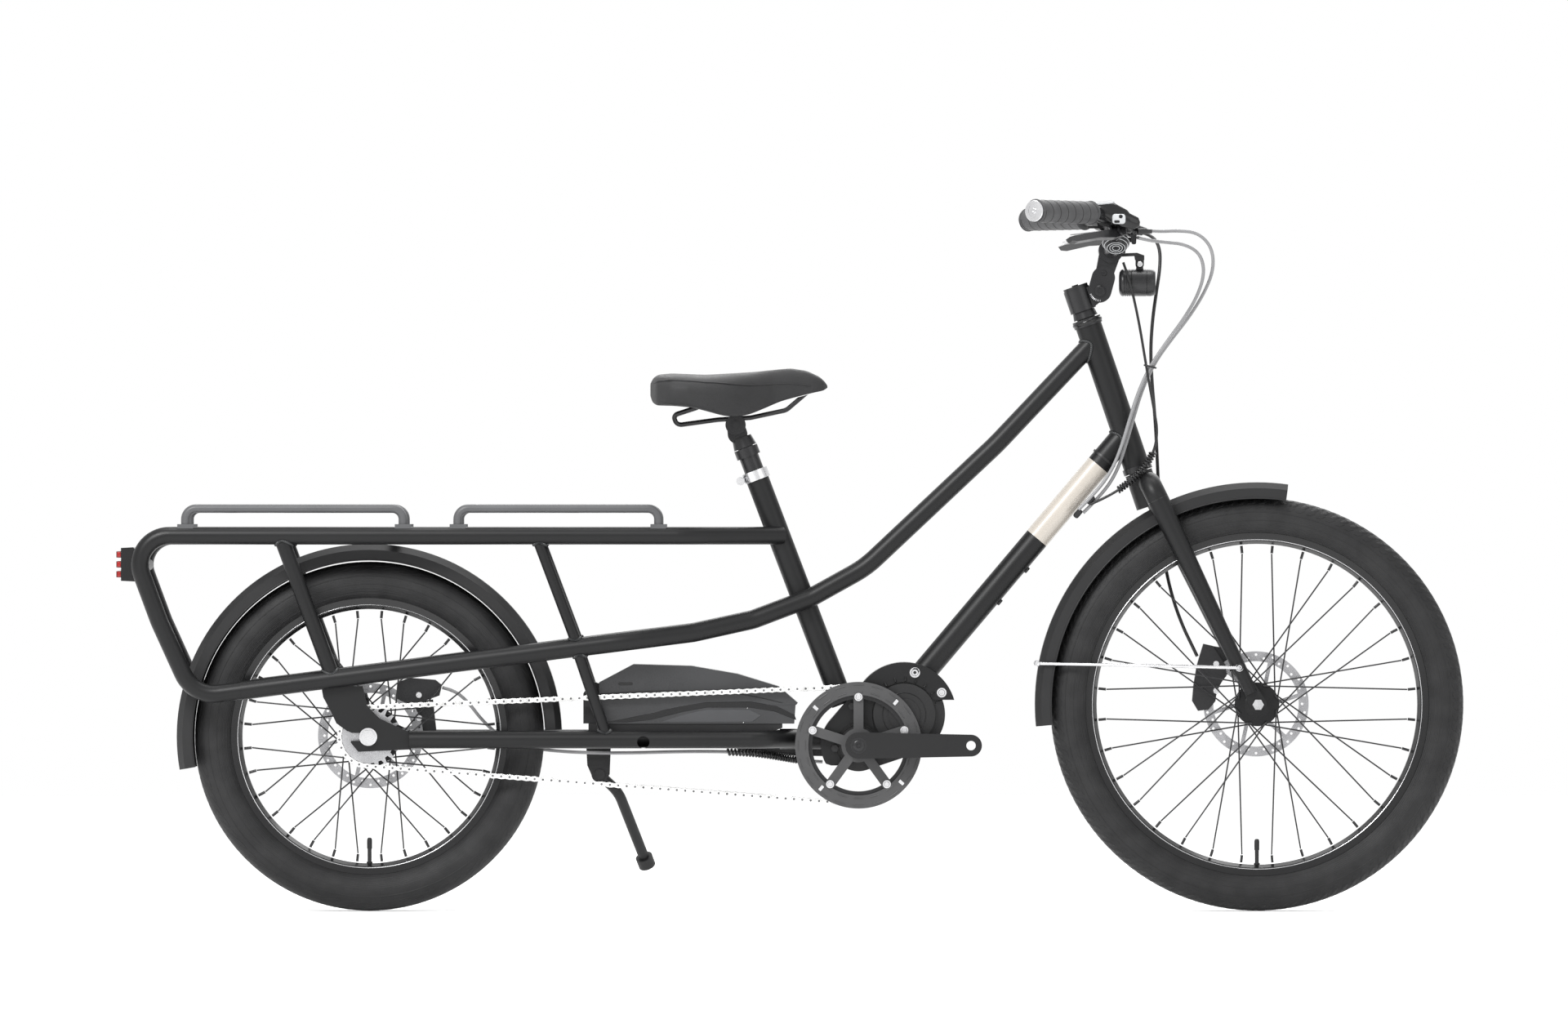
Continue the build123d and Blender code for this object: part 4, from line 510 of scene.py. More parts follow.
# ---- tyres
def tread(name, centre, tyre_r, blocks, rows, body, material):
    """Raised tread: rows are (angle round the section, width, share of the pitch, offset, skew)."""
    shape = Shape()
    middle_r = tyre_r - TYRE_SECTION_R
    for angle, width, share, offset, skew in rows:
        for number in range(blocks):
            start = tau * (number + offset) / blocks
            rings = []
            for along in (0.0, 0.12, 0.88, 1.0):
                lift = 0.2 if along in (0.0, 1.0) else 1.5
                ring = []
                for across in (-0.5, -0.42, 0.0, 0.42, 0.5):
                    height = lift if abs(across) < 0.45 else min(lift, 0.2)
                    turn = start + tau / blocks * (share * along + skew * across)
                    lean = radians(angle) + across * width / TYRE_SECTION_R
                    r = middle_r + (TYRE_SECTION_R - 0.5 + height) * cos(lean)
                    y = (TYRE_SECTION_R - 0.5 + height) * sin(lean)
                    ring.append(Vector((centre.x + r * cos(turn), y, centre.z + r * sin(turn))))
                rings.append(ring)
            shape.rings(rings, around=False)
    return make(name, shape, material, body, crease=50)


def front_tread():
    rows = [(0, 8.5, 0.86, 0.0, 0.0)]
    for side in SIDES:
        rows += [(side * 20, 8.0, 0.8, 0.5, side * 0.3), (side * 38, 8.5, 0.74, 0.1, side * 0.4),
                 (side * 56, 7.5, 0.52, 0.5, side * 0.5)]
    tread("front_tread", FRONT_AXLE, FRONT_TYRE_R - 0.9, 120, rows, "front_wheel", FRONT_RUBBER)


def rear_tread():
    rows = []
    for side in SIDES:
        rows += [(side * 9, 8.0, 0.93, 0.0, side * 0.6), (side * 29, 10.0, 0.9, 0.4, side * 0.9),
                 (side * 49, 8.0, 0.8, 0.8, side * 1.2)]
    tread("rear_tread", REAR_AXLE, REAR_TYRE_R - 0.9, 76, rows, "rear_wheel", REAR_RUBBER)


def sidewall_lines(name, centre, tyre_r, body, material):
    """Moulded rings round both sidewalls."""
    middle_r = tyre_r - TYRE_SECTION_R
    shape = Shape()
    for side in SIDES:
        for lean, size in ((74, 0.7), (98, 0.5), (112, 0.5), (126, 0.9)):
            a = radians(lean)
            r = middle_r + (TYRE_SECTION_R + 0.3) * cos(a)
            y = side * (TYRE_SECTION_R + 0.3) * sin(a)
            shape.tube([polar(centre, r, 3 * step, y) for step in range(120)], size, 6, closed=True)
    make(name, shape, material, body)


def rim_details(name, centre, bead_r, body):
    """The machined line on the rim's edge and the valve with its cap and nut."""
    shape = Shape()
    for side in SIDES:
        path = [polar(centre, bead_r - 3.4, 2 * step, side * 16.6) for step in range(180)]
        shape.tube(path, 0.55, 6, closed=True)
    make(name + "_line", shape, SILVER, body)
    valve = Shape()
    foot = centre - UP * (bead_r - 10.0)
    stem = [(0, 0), (4.6, 0), (4.6, 2.4), (2.7, 2.6), (2.7, 30), (2.4, 31), (2.4, 34), (0, 34)]
    valve.lathe(foot, UP, stem, 20)
    cap = [(0, 22), (3.9, 22), (3.9, 35), (3.2, 38), (1.6, 39), (0, 39)]
    valve.lathe(foot, UP, cap, 12)
    make(name + "_valve", valve, MATTE_PLASTIC, body)


# ---- chain
def pitch_radius(teeth):
    return CHAIN_PITCH / (2 * sin(pi / teeth))


def chain_centres():
    """Pin centres round both toothed wheels, evenly spaced along the chain's line."""
    big, small = pitch_radius(RING_TEETH), pitch_radius(COG_TEETH)
    gap = hypot(CRANK.x - REAR_AXLE.x, CRANK.z - REAR_AXLE.z)
    slope = atan2(CRANK.z - REAR_AXLE.z, CRANK.x - REAR_AXLE.x)
    spread = asin((big - small) / gap)
    upper, lower = slope + pi / 2 + spread, slope - pi / 2 - spread

    def on(centre, radius, angle):
        return Vector((centre.x + radius * cos(angle), CHAIN_Y, centre.z + radius * sin(angle)))

    line = []
    steps = 90
    for step in range(steps + 1):
        line.append(on(CRANK, big, upper + (lower - upper) * step / steps))
    for step in range(steps + 1):
        line.append(on(REAR_AXLE, small, lower - (tau - (upper - lower)) * step / steps))
    line.append(line[0])
    total = line_length(line)
    count = 2 * round(total / CHAIN_PITCH / 2)
    stride = total / count
    centres, walked, wanted = [], 0.0, 0.0
    for a, b in zip(line, line[1:]):
        length = (b - a).length
        while length > 0 and walked + length >= wanted and len(centres) < count:
            centres.append(a.lerp(b, (wanted - walked) / length))
            wanted += stride
        walked += length
    return centres


def link_outline(length):
    """A waisted side plate between two pins."""
    points = []
    for side in (1, -1):
        for step in range(9):
            t = -pi / 2 + pi * step / 8
            points.append((side * (length / 2 + 4.1 * cos(t)), side * 4.1 * sin(t)))
        points.append((0.0, side * 3.0))
    return points


def chain():
    """Inner and outer side plates by turns, with a pin and a roller at each joint."""
    plates, pins = Shape(), Shape()
    pin = [(0, 0), (1.5, 0), (1.75, 0.3), (1.75, 7.1), (1.5, 7.4), (0, 7.4)]
    roller = [(0, 0), (3.8, 0), (3.8, 2.2), (0, 2.2)]
    centres = chain_centres()
    for number, a in enumerate(centres):
        b = centres[(number + 1) % len(centres)]
        along = (b - a).normalized()
        upward = along.cross(ACROSS)
        middle = (a + b) / 2
        near, far = (2.25, 3.25) if number % 2 else (1.2, 2.15)
        for side in SIDES:
            low, high = sorted((side * near, side * far))
            plates.slab(link_outline((b - a).length), middle, along, upward, low, high, 0.25)
        pins.lathe(a - ACROSS * 3.7, ACROSS, pin, 12)
        pins.lathe(a - ACROSS * 1.1, ACROSS, roller, 14)
    piece = make("chain_plates", plates, CHAIN_STEEL, "frame")
    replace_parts(piece, "chain")
    make("chain_pins", pins, PIN_STEEL, "frame")


# ---- saddle
SADDLE_HALF_WIDTH = (
    (56.5, 2.0), (50, 13.0), (36, 20.0), (10, 25.5), (-25, 33.0), (-60, 53.0), (-95, 80.0), (-125, 95.0),
    (-155, 100.0), (-182, 95.0), (-203, 70.0), (-212.5, 30.0),
)
SADDLE_TOP = (
    (56.5, 797), (52, 804), (44, 811), (25, 820), (0, 824), (-30, 821.5), (-60, 818), (-128, 813.8),
    (-180, 816), (-200, 814), (-208, 809), (-212.5, 800),
)
SADDLE_FOOT = (
    (56.5, 794), (50, 789.5), (36, 786.5), (10, 780), (-15, 773), (-40, 762), (-62, 753), (-84, 749),
    (-104, 751.5), (-128, 758.5), (-150, 764), (-178, 766.5), (-203, 767), (-209, 771), (-212.5, 782),
)
SADDLE_SECTION = (
    (0, 1.0), (0.16, 1.0), (0.36, 0.992), (0.56, 0.968), (0.74, 0.92), (0.87, 0.83), (0.96, 0.7),
    (1.0, 0.54), (1.0, 0.36), (0.975, 0.17), (0.94, 0.04), (0.9, 0.0), (0.86, 0.03), (0.82, 0.14),
    (0.66, 0.24), (0.34, 0.3), (0, 0.32),
)


def curve_value(table, x):
    """The value between the rows of a table that falls from the nose to the rear."""
    for (x1, y1), (x2, y2) in zip(table, table[1:]):
        if x2 <= x <= x1:
            return y1 + (y2 - y1) * (x1 - x) / (x1 - x2)
    return table[0][1] if x > table[0][0] else table[-1][1]


def saddle_point(x, across, height):
    """A point of the cover: across is a share of the half width, height of the depth."""
    half, top, foot = (curve_value(table, x) for table in (SADDLE_HALF_WIDTH, SADDLE_TOP, SADDLE_FOOT))
    channel = 0.0
    if height > 0.9:
        length_wise = max(0.0, min(1.0, (20 - x) / 60.0, (x + 200) / 40.0))
        channel = 2.4 * length_wise * max(0.0, 1 - (across * half / 9.0) ** 2)
    return Vector((x, across * half, foot + (top - foot) * height - channel))


def saddle():
    """The padded cover: crowned, with a relief channel, rolled edges and a deep skirt."""
    rows = 44
    rings = []
    section = [(-y, z) for y, z in reversed(SADDLE_SECTION)] + list(SADDLE_SECTION[1:-1])
    for row in range(rows):
        x = -78.0 + 134.4 * cos(pi * row / (rows - 1))
        rings.append([saddle_point(x, across, height) for across, height in section])
    cover = Shape().rings(rings)
    piece = make("saddle_cover", cover, LEATHER, "saddle", crease=80, divide=1)
    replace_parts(piece, "saddle")
    seam = Shape()
    section_spans = list(zip(SADDLE_SECTION, SADDLE_SECTION[1:]))
    for side in SIDES:
        line = []
        for step in range(49):
            x = 30 - 238 * step / 48
            height = 0.78 - 0.42 * max(0.0, (x + 120) / 150.0) ** 1.6
            across = next(a + (b - a) * (h1 - height) / (h1 - h2)
                          for (a, h1), (b, h2) in section_spans if h2 <= height <= h1)
            line.append(saddle_point(x, side * (across + 0.002), height))
        seam.tube(smooth_line(line, 4), 0.9, 8)
    make("saddle_seams", seam, LEATHER, "saddle")


# ---- hoses
REAR_BRAKE_HOSE = [
    (536.9, -102.9, 1031.3), (556.0, -80.0, 1029.5), (586.0, -62.0, 1031.5), (617.0, -51.0, 1029.0),
    (639.0, -44.0, 1007.0), (642.0, -38.0, 973.0), (627.0, -32.0, 936.0), (604.0, -28.0, 900.0),
    (577.0, -26.0, 866.0), (552.0, -25.5, 831.0), (534.0, -26.0, 792.0), (521.0, -28.0, 750.0),
    (509.0, -30.0, 708.0), (496.0, -31.0, 668.0), (474.0, -31.0, 633.0), (444.0, -29.0, 604.0),
]
SHIFT_HOSE = [
    (524.5, -131.0, 1019.5), (540.0, -106.0, 1016.0), (566.0, -84.0, 1013.5), (597.0, -68.0, 1011.0),
    (621.0, -57.0, 997.0), (628.0, -49.0, 968.0), (617.0, -42.0, 932.0), (595.0, -38.0, 896.0),
    (568.0, -35.0, 860.0), (544.0, -34.0, 824.0), (527.0, -34.5, 786.0), (514.0, -36.0, 745.0),
    (502.0, -38.0, 704.0), (487.0, -38.5, 668.0), (465.0, -38.0, 637.0), (437.0, -36.5, 609.0),
]
DISPLAY_CABLE = [
    (505.0, -24.0, 984.0), (514.0, -27.0, 958.0), (522.0, -31.0, 925.0), (530.0, -35.0, 885.0),
    (537.0, -38.0, 842.0), (544.0, -39.5, 800.0), (551.0, -40.0, 762.0), (557.0, -40.0, 727.0),
    (551.0, -40.0, 695.0), (533.0, -40.5, 668.0), (507.0, -41.0, 645.0), (480.0, -39.5, 628.0),
    (455.0, -37.5, 617.0),
]
FRONT_BRAKE_HOSE = [
    (536.9, 102.9, 1031.3), (552.0, 82.0, 1027.0), (563.0, 66.0, 1008.0), (563.0, 55.0, 978.0),
    (557.0, 47.0, 940.0), (551.0, 43.0, 898.0), (548.0, 42.0, 852.0), (550.0, 44.0, 806.0),
    (554.0, 50.0, 762.0), (557.0, 60.0, 722.0), (559.0, 71.0, 684.0), (561.0, 78.0, 644.0),
    (563.0, 80.0, 602.0), (566.0, 78.0, 558.0), (573.0, 72.0, 512.0), (584.0, 64.0, 468.0),
    (598.0, 56.0, 430.0), (611.0, 49.5, 403.0), (619.0, 45.0, 386.0),
]
STAY_HOSE = [
    (-529.5, 53.0, 338.0), (-511.0, 51.0, 334.0), (-490.0, 48.5, 316.0), (-468.0, 47.0, 287.0),
    (-438.0, 46.5, 261.0), (-396.0, 46.0, 246.0), (-345.0, 45.5, 240.5), (-290.0, 45.0, 238.5),
    (-234.0, 44.4, 238.9), (-178.0, 44.0, 240.5), (-124.0, 43.0, 241.0), (-78.0, 41.5, 240.0),
    (-40.0, 39.0, 237.0), (-8.0, 35.0, 231.5), (21.0, 30.0, 227.0), (49.0, 26.0, 225.5),
]
BAR_BEND = ((0.55, 0, 1.03), (0.55, 0, 0.9))
HEAD_BEND = ((0.56, 0, 0.86), (0.47, 0, 0.62))
HOSE_JOIN_Z = 885.0
HOSE_R, CABLE_R = 2.6, 2.0


def declared(name, line, radius, material, body, joint=None):
    """A hose as a mesh tube; joint is (body, body, start, end): only whether it is given is read, and then
    the tube is baked in place on no body.
    """
    tube = Shape().tube(line, radius, 12)
    piece = make(name, tube, material, None if joint else body, crease=60)
    if joint:
        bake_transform(piece)
    return piece


def split_hose(name, route, radius, material):
    """A hose that passes the stem's joint and then the steering's, in two pieces."""
    line = smooth_line(route)
    cut = next(i for i, point in enumerate(line) if i > 20 and point.z < HOSE_JOIN_Z)
    upper = declared(name + "_upper", line[:cut + 1], radius, material, None, ("bar", "steering", *BAR_BEND))
    declared(name + "_lower", line[cut:], radius, material, None, ("steering", "frame", *HEAD_BEND))
    return upper


def hoses():
    upper = split_hose("rear_brake_hose", REAR_BRAKE_HOSE, HOSE_R, HOSE_GREY)
    split_hose("shift_hose", SHIFT_HOSE, HOSE_R, HOSE_GREY)
    split_hose("display_cable", DISPLAY_CABLE, CABLE_R, HOSE_BLACK)
    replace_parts(upper, "control_hoses")
    front = declared("front_brake_hose_run", smooth_line(FRONT_BRAKE_HOSE), HOSE_R, HOSE_BLACK, None,
                     ("bar", "steering", *BAR_BEND))
    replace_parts(front, "front_brake_hose")
    stay = declared("stay_hose_run", smooth_line(STAY_HOSE), HOSE_R, HOSE_GREY, "frame")
    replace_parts(stay, "stay_hose")


# ---- frame details
TUBES = {
    "head": (steer(0), steer(HEAD_LENGTH), 20.0),
    "down": (Vector((506.9, 0, 722.4)), Vector((204.0, 0, 363.8)), 18.75),
    "seat": (seat(66), seat(SEAT_TUBE_LENGTH), 17.45),
    "rail": (Vector((-900, -80, 569.5)), Vector((-160, -80, 569.5)), 13.5),
    "lower": (Vector((-250, -79, 409.5)), Vector((-505.6, -80, 377.3)), 14.25),
    "lower_rear": (Vector((-505.6, -80, 377.3)), Vector((-903, -80, 325.7)), 13.5),
    "stay": (Vector((-577, -71, 260.8)), Vector((-120, -63.5, 260.8)), 13.5),
    "loop": (Vector((-955, -80, 440)), Vector((-1003, -80, 569.5)), 13.5),
}
JOINS = (
    ("head", (462.0, -4.6, 866.1), (312.8, -21.5, 708.4), 14.25, True),
    ("head", (506.9, 0, 722.4), (204.0, 0, 363.8), 18.75, False),
    ("rail", (-769, -80, 563), (-691, -80, 352), 11.5, True),
    ("rail", (-383, -80, 566), (-322, -80, 404), 8.5, True),
    ("lower_rear", (-691, -80, 352), (-769, -80, 563), 11.5, True),
    ("lower", (-322, -80, 404), (-383, -80, 566), 8.5, True),
    ("lower", (-320.5, -80, 391.6), (-277, -66.5, 262), 8.5, True),
    ("stay", (-277, -66.5, 262), (-320.5, -80, 391.6), 8.5, True),
    ("loop", (-981, -80, 525), (-981, 80, 525), 11.0, True),
    ("rail", (-850, -80, 569.5), (-850, 80, 569.5), 9.5, True),
    ("rail", (-598, -80, 569.5), (-598, 80, 569.5), 9.5, True),
    ("rail", (-330, -80, 569.5), (-330, 80, 569.5), 9.5, True),
    ("seat", (-56.7, -12, 569.5), (-150, -80, 569.5), 13.5, True),
)


def weld_line(host, start, away, radius):
    """Where the surface of a round tube that ends on a host tube meets the host."""
    a0, a1, host_r = TUBES[host]
    axis = (a1 - a0).normalized()
    start, away = Vector(start), Vector(away)
    z, x, y = basis(away - start)
    line = []
    for step in range(48):
        t = tau * step / 48
        point = start + (x * cos(t) + y * sin(t)) * radius
        across, gap = z - axis * z.dot(axis), (point - a0) - axis * (point - a0).dot(axis)
        a, b, c = across.dot(across), 2 * gap.dot(across), gap.dot(gap) - (host_r + 0.4) ** 2
        inside = b * b - 4 * a * c
        if inside <= 0:
            return None
        point = point + z * ((-b + sqrt(inside)) / (2 * a))
        line.append(Vector((point.x, min(point.y, 0.0), point.z)) if start.y < 0 else point)
    return line


def welds():
    """The rippled bead where each tube is joined to its neighbour."""
    shape = Shape()
    for host, start, away, radius, twice in JOINS:
        line = weld_line(host, start, away, radius)
        for flip in (False, True)[:2 if twice else 1]:
            if line:
                path = [mirrored(point) for point in line] if flip else line
                fine = [path[i // 4].lerp(path[(i // 4 + 1) % 48], i % 4 / 4) for i in range(192)]
                shape.tube(fine, lambda i: 2.3 + 0.35 * sin(tau * i / 4), 8, closed=True)
    make("frame_welds", shape, WELD, "frame", crease=70)


def frame_details():
    """Welds, the plain band, bottle bosses, cable ties and the hose clips of the down tube."""
    welds()
    top, foot, radius = TUBES["down"]
    down, _, upper = basis(foot - top)
    low, high, inner, outer = 60.6, 205.4, radius - 0.5, radius + 0.4
    band = Shape().lathe(top, down, [(inner, low), (outer, low), (outer, high), (inner, high)], 56)
    make("down_tube_band", band, CREAM, "frame")
    shape = Shape()
    for along in (252, 316):
        shape.bolt(top.lerp(foot, along / 469.4) - upper * 18.4, -upper, 5.2, 3.4)
    make("bottle_bosses", shape, BLACK_ALLOY, "frame")
    tie = Shape().lathe(top.lerp(foot, 0.1), down, [(19.1, -1.8), (20.7, -1.8), (20.7, 1.8), (19.1, 1.8)], 40)
    make("cable_tie_tube", tie, HOSE_BLACK, "frame")
    clips = Shape()
    for place in ((455.0, -31.0, 624.0), (436.0, -28.0, 603.0)):
        clips.slab(rounded(15.0, 9.0, 3.5), place, (-0.65, 0, -0.76), (0.76, 0, -0.65), -5.0, 5.0, 1.4)
    make("hose_clips", clips, MATTE_SATIN, "frame")
    loop = [(545.5 + u, -33.0 + v, 826.0 - u * 0.25) for u, v in rounded(17.0, 17.0, 6.0)]
    tie = Shape().tube(loop, 1.5, 8, closed=True)
    piece = make("cable_tie_hoses", tie, HOSE_BLACK, None)
    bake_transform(piece)


# ---- bolts
def bolt_group(name, places, material, body):
    """Bolts with washers; places are rows of (point, axis, radius, height)."""
    shape = Shape()
    for place, axis, radius, height in places:
        place, along = Vector(place), Vector(axis).normalized()
        washer = radius * 1.45
        shape.lathe(place - along * 1.0, axis, [(0, 0), (washer, 0), (washer, 1.6), (0, 1.6)], 24)
        shape.bolt(place + along * 0.5, axis, radius, height)
    make(name, shape, material, body)


def fork_shoulders():
    """The rounded top of each fork leg."""
    domes = Shape()
    profile = [(16.6 * cos(radians(a)), 14.0 * sin(radians(a))) for a in (-25, 0, 15, 30, 45, 60, 75, 90)]
    for side in SIDES:
        domes.lathe((556.6, side * 56.0, 624.5), (-142.8, 0, 295.4), profile, 32)
    make("fork_shoulders", domes, GLOSS_BLACK, "steering", crease=60)


def bolts():
    out, other = -ACROSS, ACROSS
    bolt_group("fork_bolts", [((679.8, side * 66.5, 369.9), (0, side, 0), 4.2, 4) for side in SIDES],
               SILVER, "steering")
    fork_shoulders()
    mounts = [((188.8, 362.0), 5.4), ((229.5, 331.5), 5.0)]
    right_only = [((128.0, -36.2, 330.0), out, 5.0, 5)]
    places = [((x, side * 36.2, z), (0, side, 0), radius, 5) for side in SIDES for (x, z), radius in mounts]
    bolt_group("motor_mount_bolts", places + right_only, SILVER, "frame")
    ring = [(polar(CRANK, 73.0, 18 + 72 * n, -56.4), out, 4.2, 2.4) for n in range(5)]
    bolt_group("chainring_fixings", ring, SILVER, "crank")
    ends = [((CRANK.x, side * 94.2, CRANK.z), (0, side, 0), 8.5, 3) for side in SIDES]
    bolt_group("crank_bolts", ends, BLACK_ALLOY, "crank")
    for end, axle, face_y in (("front", FRONT_AXLE, 39.9), ("rear", REAR_AXLE, 52.9)):
        ring = [(polar(axle, 20.0, 60 * n + 30, face_y), other, 2.9, 2) for n in range(6)]
        bolt_group(end + "_disc_bolts", ring, STEEL, end + "_wheel")


# ---- battery and motor
BATTERY_SIDE_Y = 38.0
SWOOSH = (
    (-278, 287), (-252, 292), (-214, 300), (-168, 311), (-128, 317), (-60, 318), (-20, 311), (6, 298),
    (9, 290), (-24, 303), (-62, 309), (-126, 309), (-164, 302), (-212, 290), (-248, 286.5),
)
BATTERY_PLATE = ((-196, 287), (-58, 287), (-44, 297), (-62, 306), (-126, 306), (-160, 299))
BATTERY_SEAM = ((-289, 330), (-240, 333), (-180, 335), (-120, 334), (-60, 328), (-12, 316))


def battery_details():
    """The raised swoosh, the side panel, the seam and the charge window on each side of the case."""
    for side, label in ((-1, "right"), (1, "left")):
        origin, down = (0, side * BATTERY_SIDE_Y, 0), (0, 0, -side)

        def relief(part, outline, low, high, chamfer, material, place=origin):
            shape = Shape().slab(outline, place, AHEAD, down, low, high, chamfer)
            make("battery_" + part + "_" + label, shape, material, "frame")

        relief("swoosh", [(x, z * -side) for x, z in SWOOSH], -1.3, 0.6, 0.4, GLOSS_BLACK)
        relief("panel", [(x, z * -side) for x, z in BATTERY_PLATE], -1.1, 0.5, 0.4, BATTERY_PANEL)
        # The seam and the charge window are raised near-black strips: painted shade of a recessed seam and
        # window.
        seam = smooth_line([(x, side * (BATTERY_SIDE_Y + 0.1), z) for x, z in BATTERY_SEAM], 6)
        make("battery_seam_" + label, Shape().tube(seam, 0.7, 6), RECESS_SHADE, "frame")
        relief("window", rounded(22, 4.4, 2.1), -0.9, 0.7, 0.3, RECESS_SHADE, (-250, side * BATTERY_SIDE_Y, 345))


def motor_details():
    """Ribs and seam of the casting round the crank, seen through the chainring."""
    shape = Shape()
    for side in SIDES:
        for number in range(9):
            a = 20 + number * 17
            start, end = polar(MOTOR, 50.5, a, side * 40.4), polar(MOTOR, 60.0, a, side * 31.5)
            shape.tube([start, start.lerp(end, 0.5) + Vector((0, side * 1.6, 0)), end], 1.3, 8)
        shape.tube([polar(MOTOR, 33.0, 6 * n, side * 40.2) for n in range(60)], 0.8, 6, closed=True)
    make("motor_ribs", shape, CAST, "frame")
    ribs = Shape()
    for number in range(20):
        a = 18 * number
        for radius in (80.5, 91.5):
            path = [polar(CRANK, radius, a + step * 1.6, -56.6) for step in range(-3, 4)]
            ribs.tube(path, 0.9, 6)
    make("guard_ribs", ribs, GUARD, "crank")
    tabs = Shape()
    for angle in (139, 319, 49, 229):
        outward = polar(Vector(), 1.0, angle)
        place = polar(CRANK, 86.0, angle, -56.8)
        tabs.slab(rounded(9.0, 5.0, 1.4), place, outward, ACROSS.cross(outward), -0.9, 0.9, 0.3)
    make("guard_tabs", tabs, SILVER, "crank")


# ---- cockpit
GRIP_IN, GRIP_OUT = Vector((452, -207, 1055.4)), Vector((366, -327, 1055.7))


def grips():
    """Grips with a wound groove and a collar at each end, and a metal cap with its bolt."""
    collars, grooves, caps = Shape(), Shape(), Shape()
    turns, count = 7, 210
    collar = [(15.6, -1.6), (17.6, -1.2), (18.2, 0), (17.6, 1.2), (15.6, 1.6)]
    cap = [(0, 0.2), (15.7, 0.2), (16.1, 1.0), (16.1, 3.1), (15.3, 3.9), (9.5, 4.1), (9.2, 3.5), (0, 3.5)]
    for side in SIDES:
        start, end = (GRIP_IN, GRIP_OUT) if side < 0 else (mirrored(GRIP_IN), mirrored(GRIP_OUT))
        z, x, y = basis(end - start)
        length = (end - start).length
        path = []
        for step in range(count + 1):
            t = tau * turns * step / count
            path.append(start + z * (5 + (length - 10) * step / count) + (x * cos(t) + y * sin(t)) * 16.5)
        # The wound groove is a raised coil in near-black: painted shade of the groove.
        grooves.tube(path, 0.9, 8)
        for height in (1.2, length - 1.5):
            collars.lathe(start + z * height, z, collar, 36)
        caps.lathe(end, z, cap, 40)
        caps.bolt(end + z * 3.4, z, 4.2, 1.8)
    make("grip_collars", collars, GRIP, "bar")
    make("grip_grooves", grooves, RECESS_SHADE, "bar")
    make("grip_caps", caps, SILVER, "bar")


STEM_PIVOT = Vector((469.8, 0, 940.9))


def stem_details():
    """Pivot and clamp bolts, and the scale that shows the stem's angle."""
    shape, marks = Shape(), Shape()
    for side in SIDES:
        axis = (0, side, 0)
        shape.bolt(STEM_PIVOT + ACROSS * side * 18.5, axis, 8.2, 3.4)
        shape.bolt((476.0, side * 16.0, 968.0), axis, 4.4, 3.0)
        for number in range(9):
            angle = 200 + number * 9
            marks.tube([polar(STEM_PIVOT, radius, angle, side * 17.7) for radius in (13.4, 16.2)], 0.35, 6)
    for y in (-9.5, 9.5):
        shape.bolt((505.6, y, 1002.0), AHEAD, 3.6, 3.0)
    make("stem_bolts", shape, BLACK_ALLOY, "bar")
    make("stem_scale", marks, SILVER, "bar")


POD_Y = -181.0
POD_OUTLINE = (
    (455.0, 1066.5), (471.0, 1069.5), (487.0, 1071.0), (494.0, 1067.0), (507.0, 1060.0), (511.0, 1055.0),
    (524.0, 1048.5), (526.5, 1042.0), (525.5, 1035.0), (514.0, 1030.5), (492.0, 1036.5), (475.0, 1046.0),
    (458.0, 1055.0),
)


def display_details():
    """The display's pod with its silver top, and the plate with two keys on its side."""
    pod = Shape().slab(POD_OUTLINE, (0, POD_Y, 0), AHEAD, UP, -13.0, 12.0, 3.0)
    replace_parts(make("display_pod", pod, GLOSS_BLACK, "bar", crease=50), "display_unit")
    plate, glass, ferrule, buttons, keys = Shape(), Shape(), Shape(), Shape(), Shape()
    slope = Vector((16.0, 0, 1.8)).normalized()
    plate.slab(rounded(31.0, 21.0, 5.0), (472.5, -181.5, 1069.8), slope, ACROSS, -1.5, 2.6, 0.8)
    glass.slab(rounded(24.0, 15.0, 3.0), (472.5, -181.5, 1072.0), slope, ACROSS, 0, 0.9, 0.2)
    make("display_top", plate, GREY_PLASTIC, "bar")
    make("display_glass", glass, GLOSS_BLACK, "bar")
    sleeve = [(0, 0), (4.6, 0), (4.6, 13.0), (3.4, 17.0), (3.4, 22.0), (0, 22.0)]
    ferrule.lathe((524.0, -136.0, 1029.0), (1, 0.25, 0), sleeve, 20)
    make("hose_ferrule", ferrule, MATTE_SATIN, "bar")
    buttons.slab(rounded(20.0, 15.0, 4.5), (494.5, POD_Y, 1046.5), AHEAD, UP, 10.5, 13.2, 0.8)
    make("switch_plate", buttons, GREY_PLASTIC, "bar")
    keys.slab(disc(2.9), (497.3, POD_Y, 1050.3), AHEAD, UP, 12.8, 14.2, 0.5)
    keys.slab(rounded(8.0, 4.0, 1.2), (491.5, POD_Y, 1042.6), AHEAD, UP, 12.8, 14.2, 0.5)
    make("switch_keys", keys, GLOSS_BLACK, "bar")


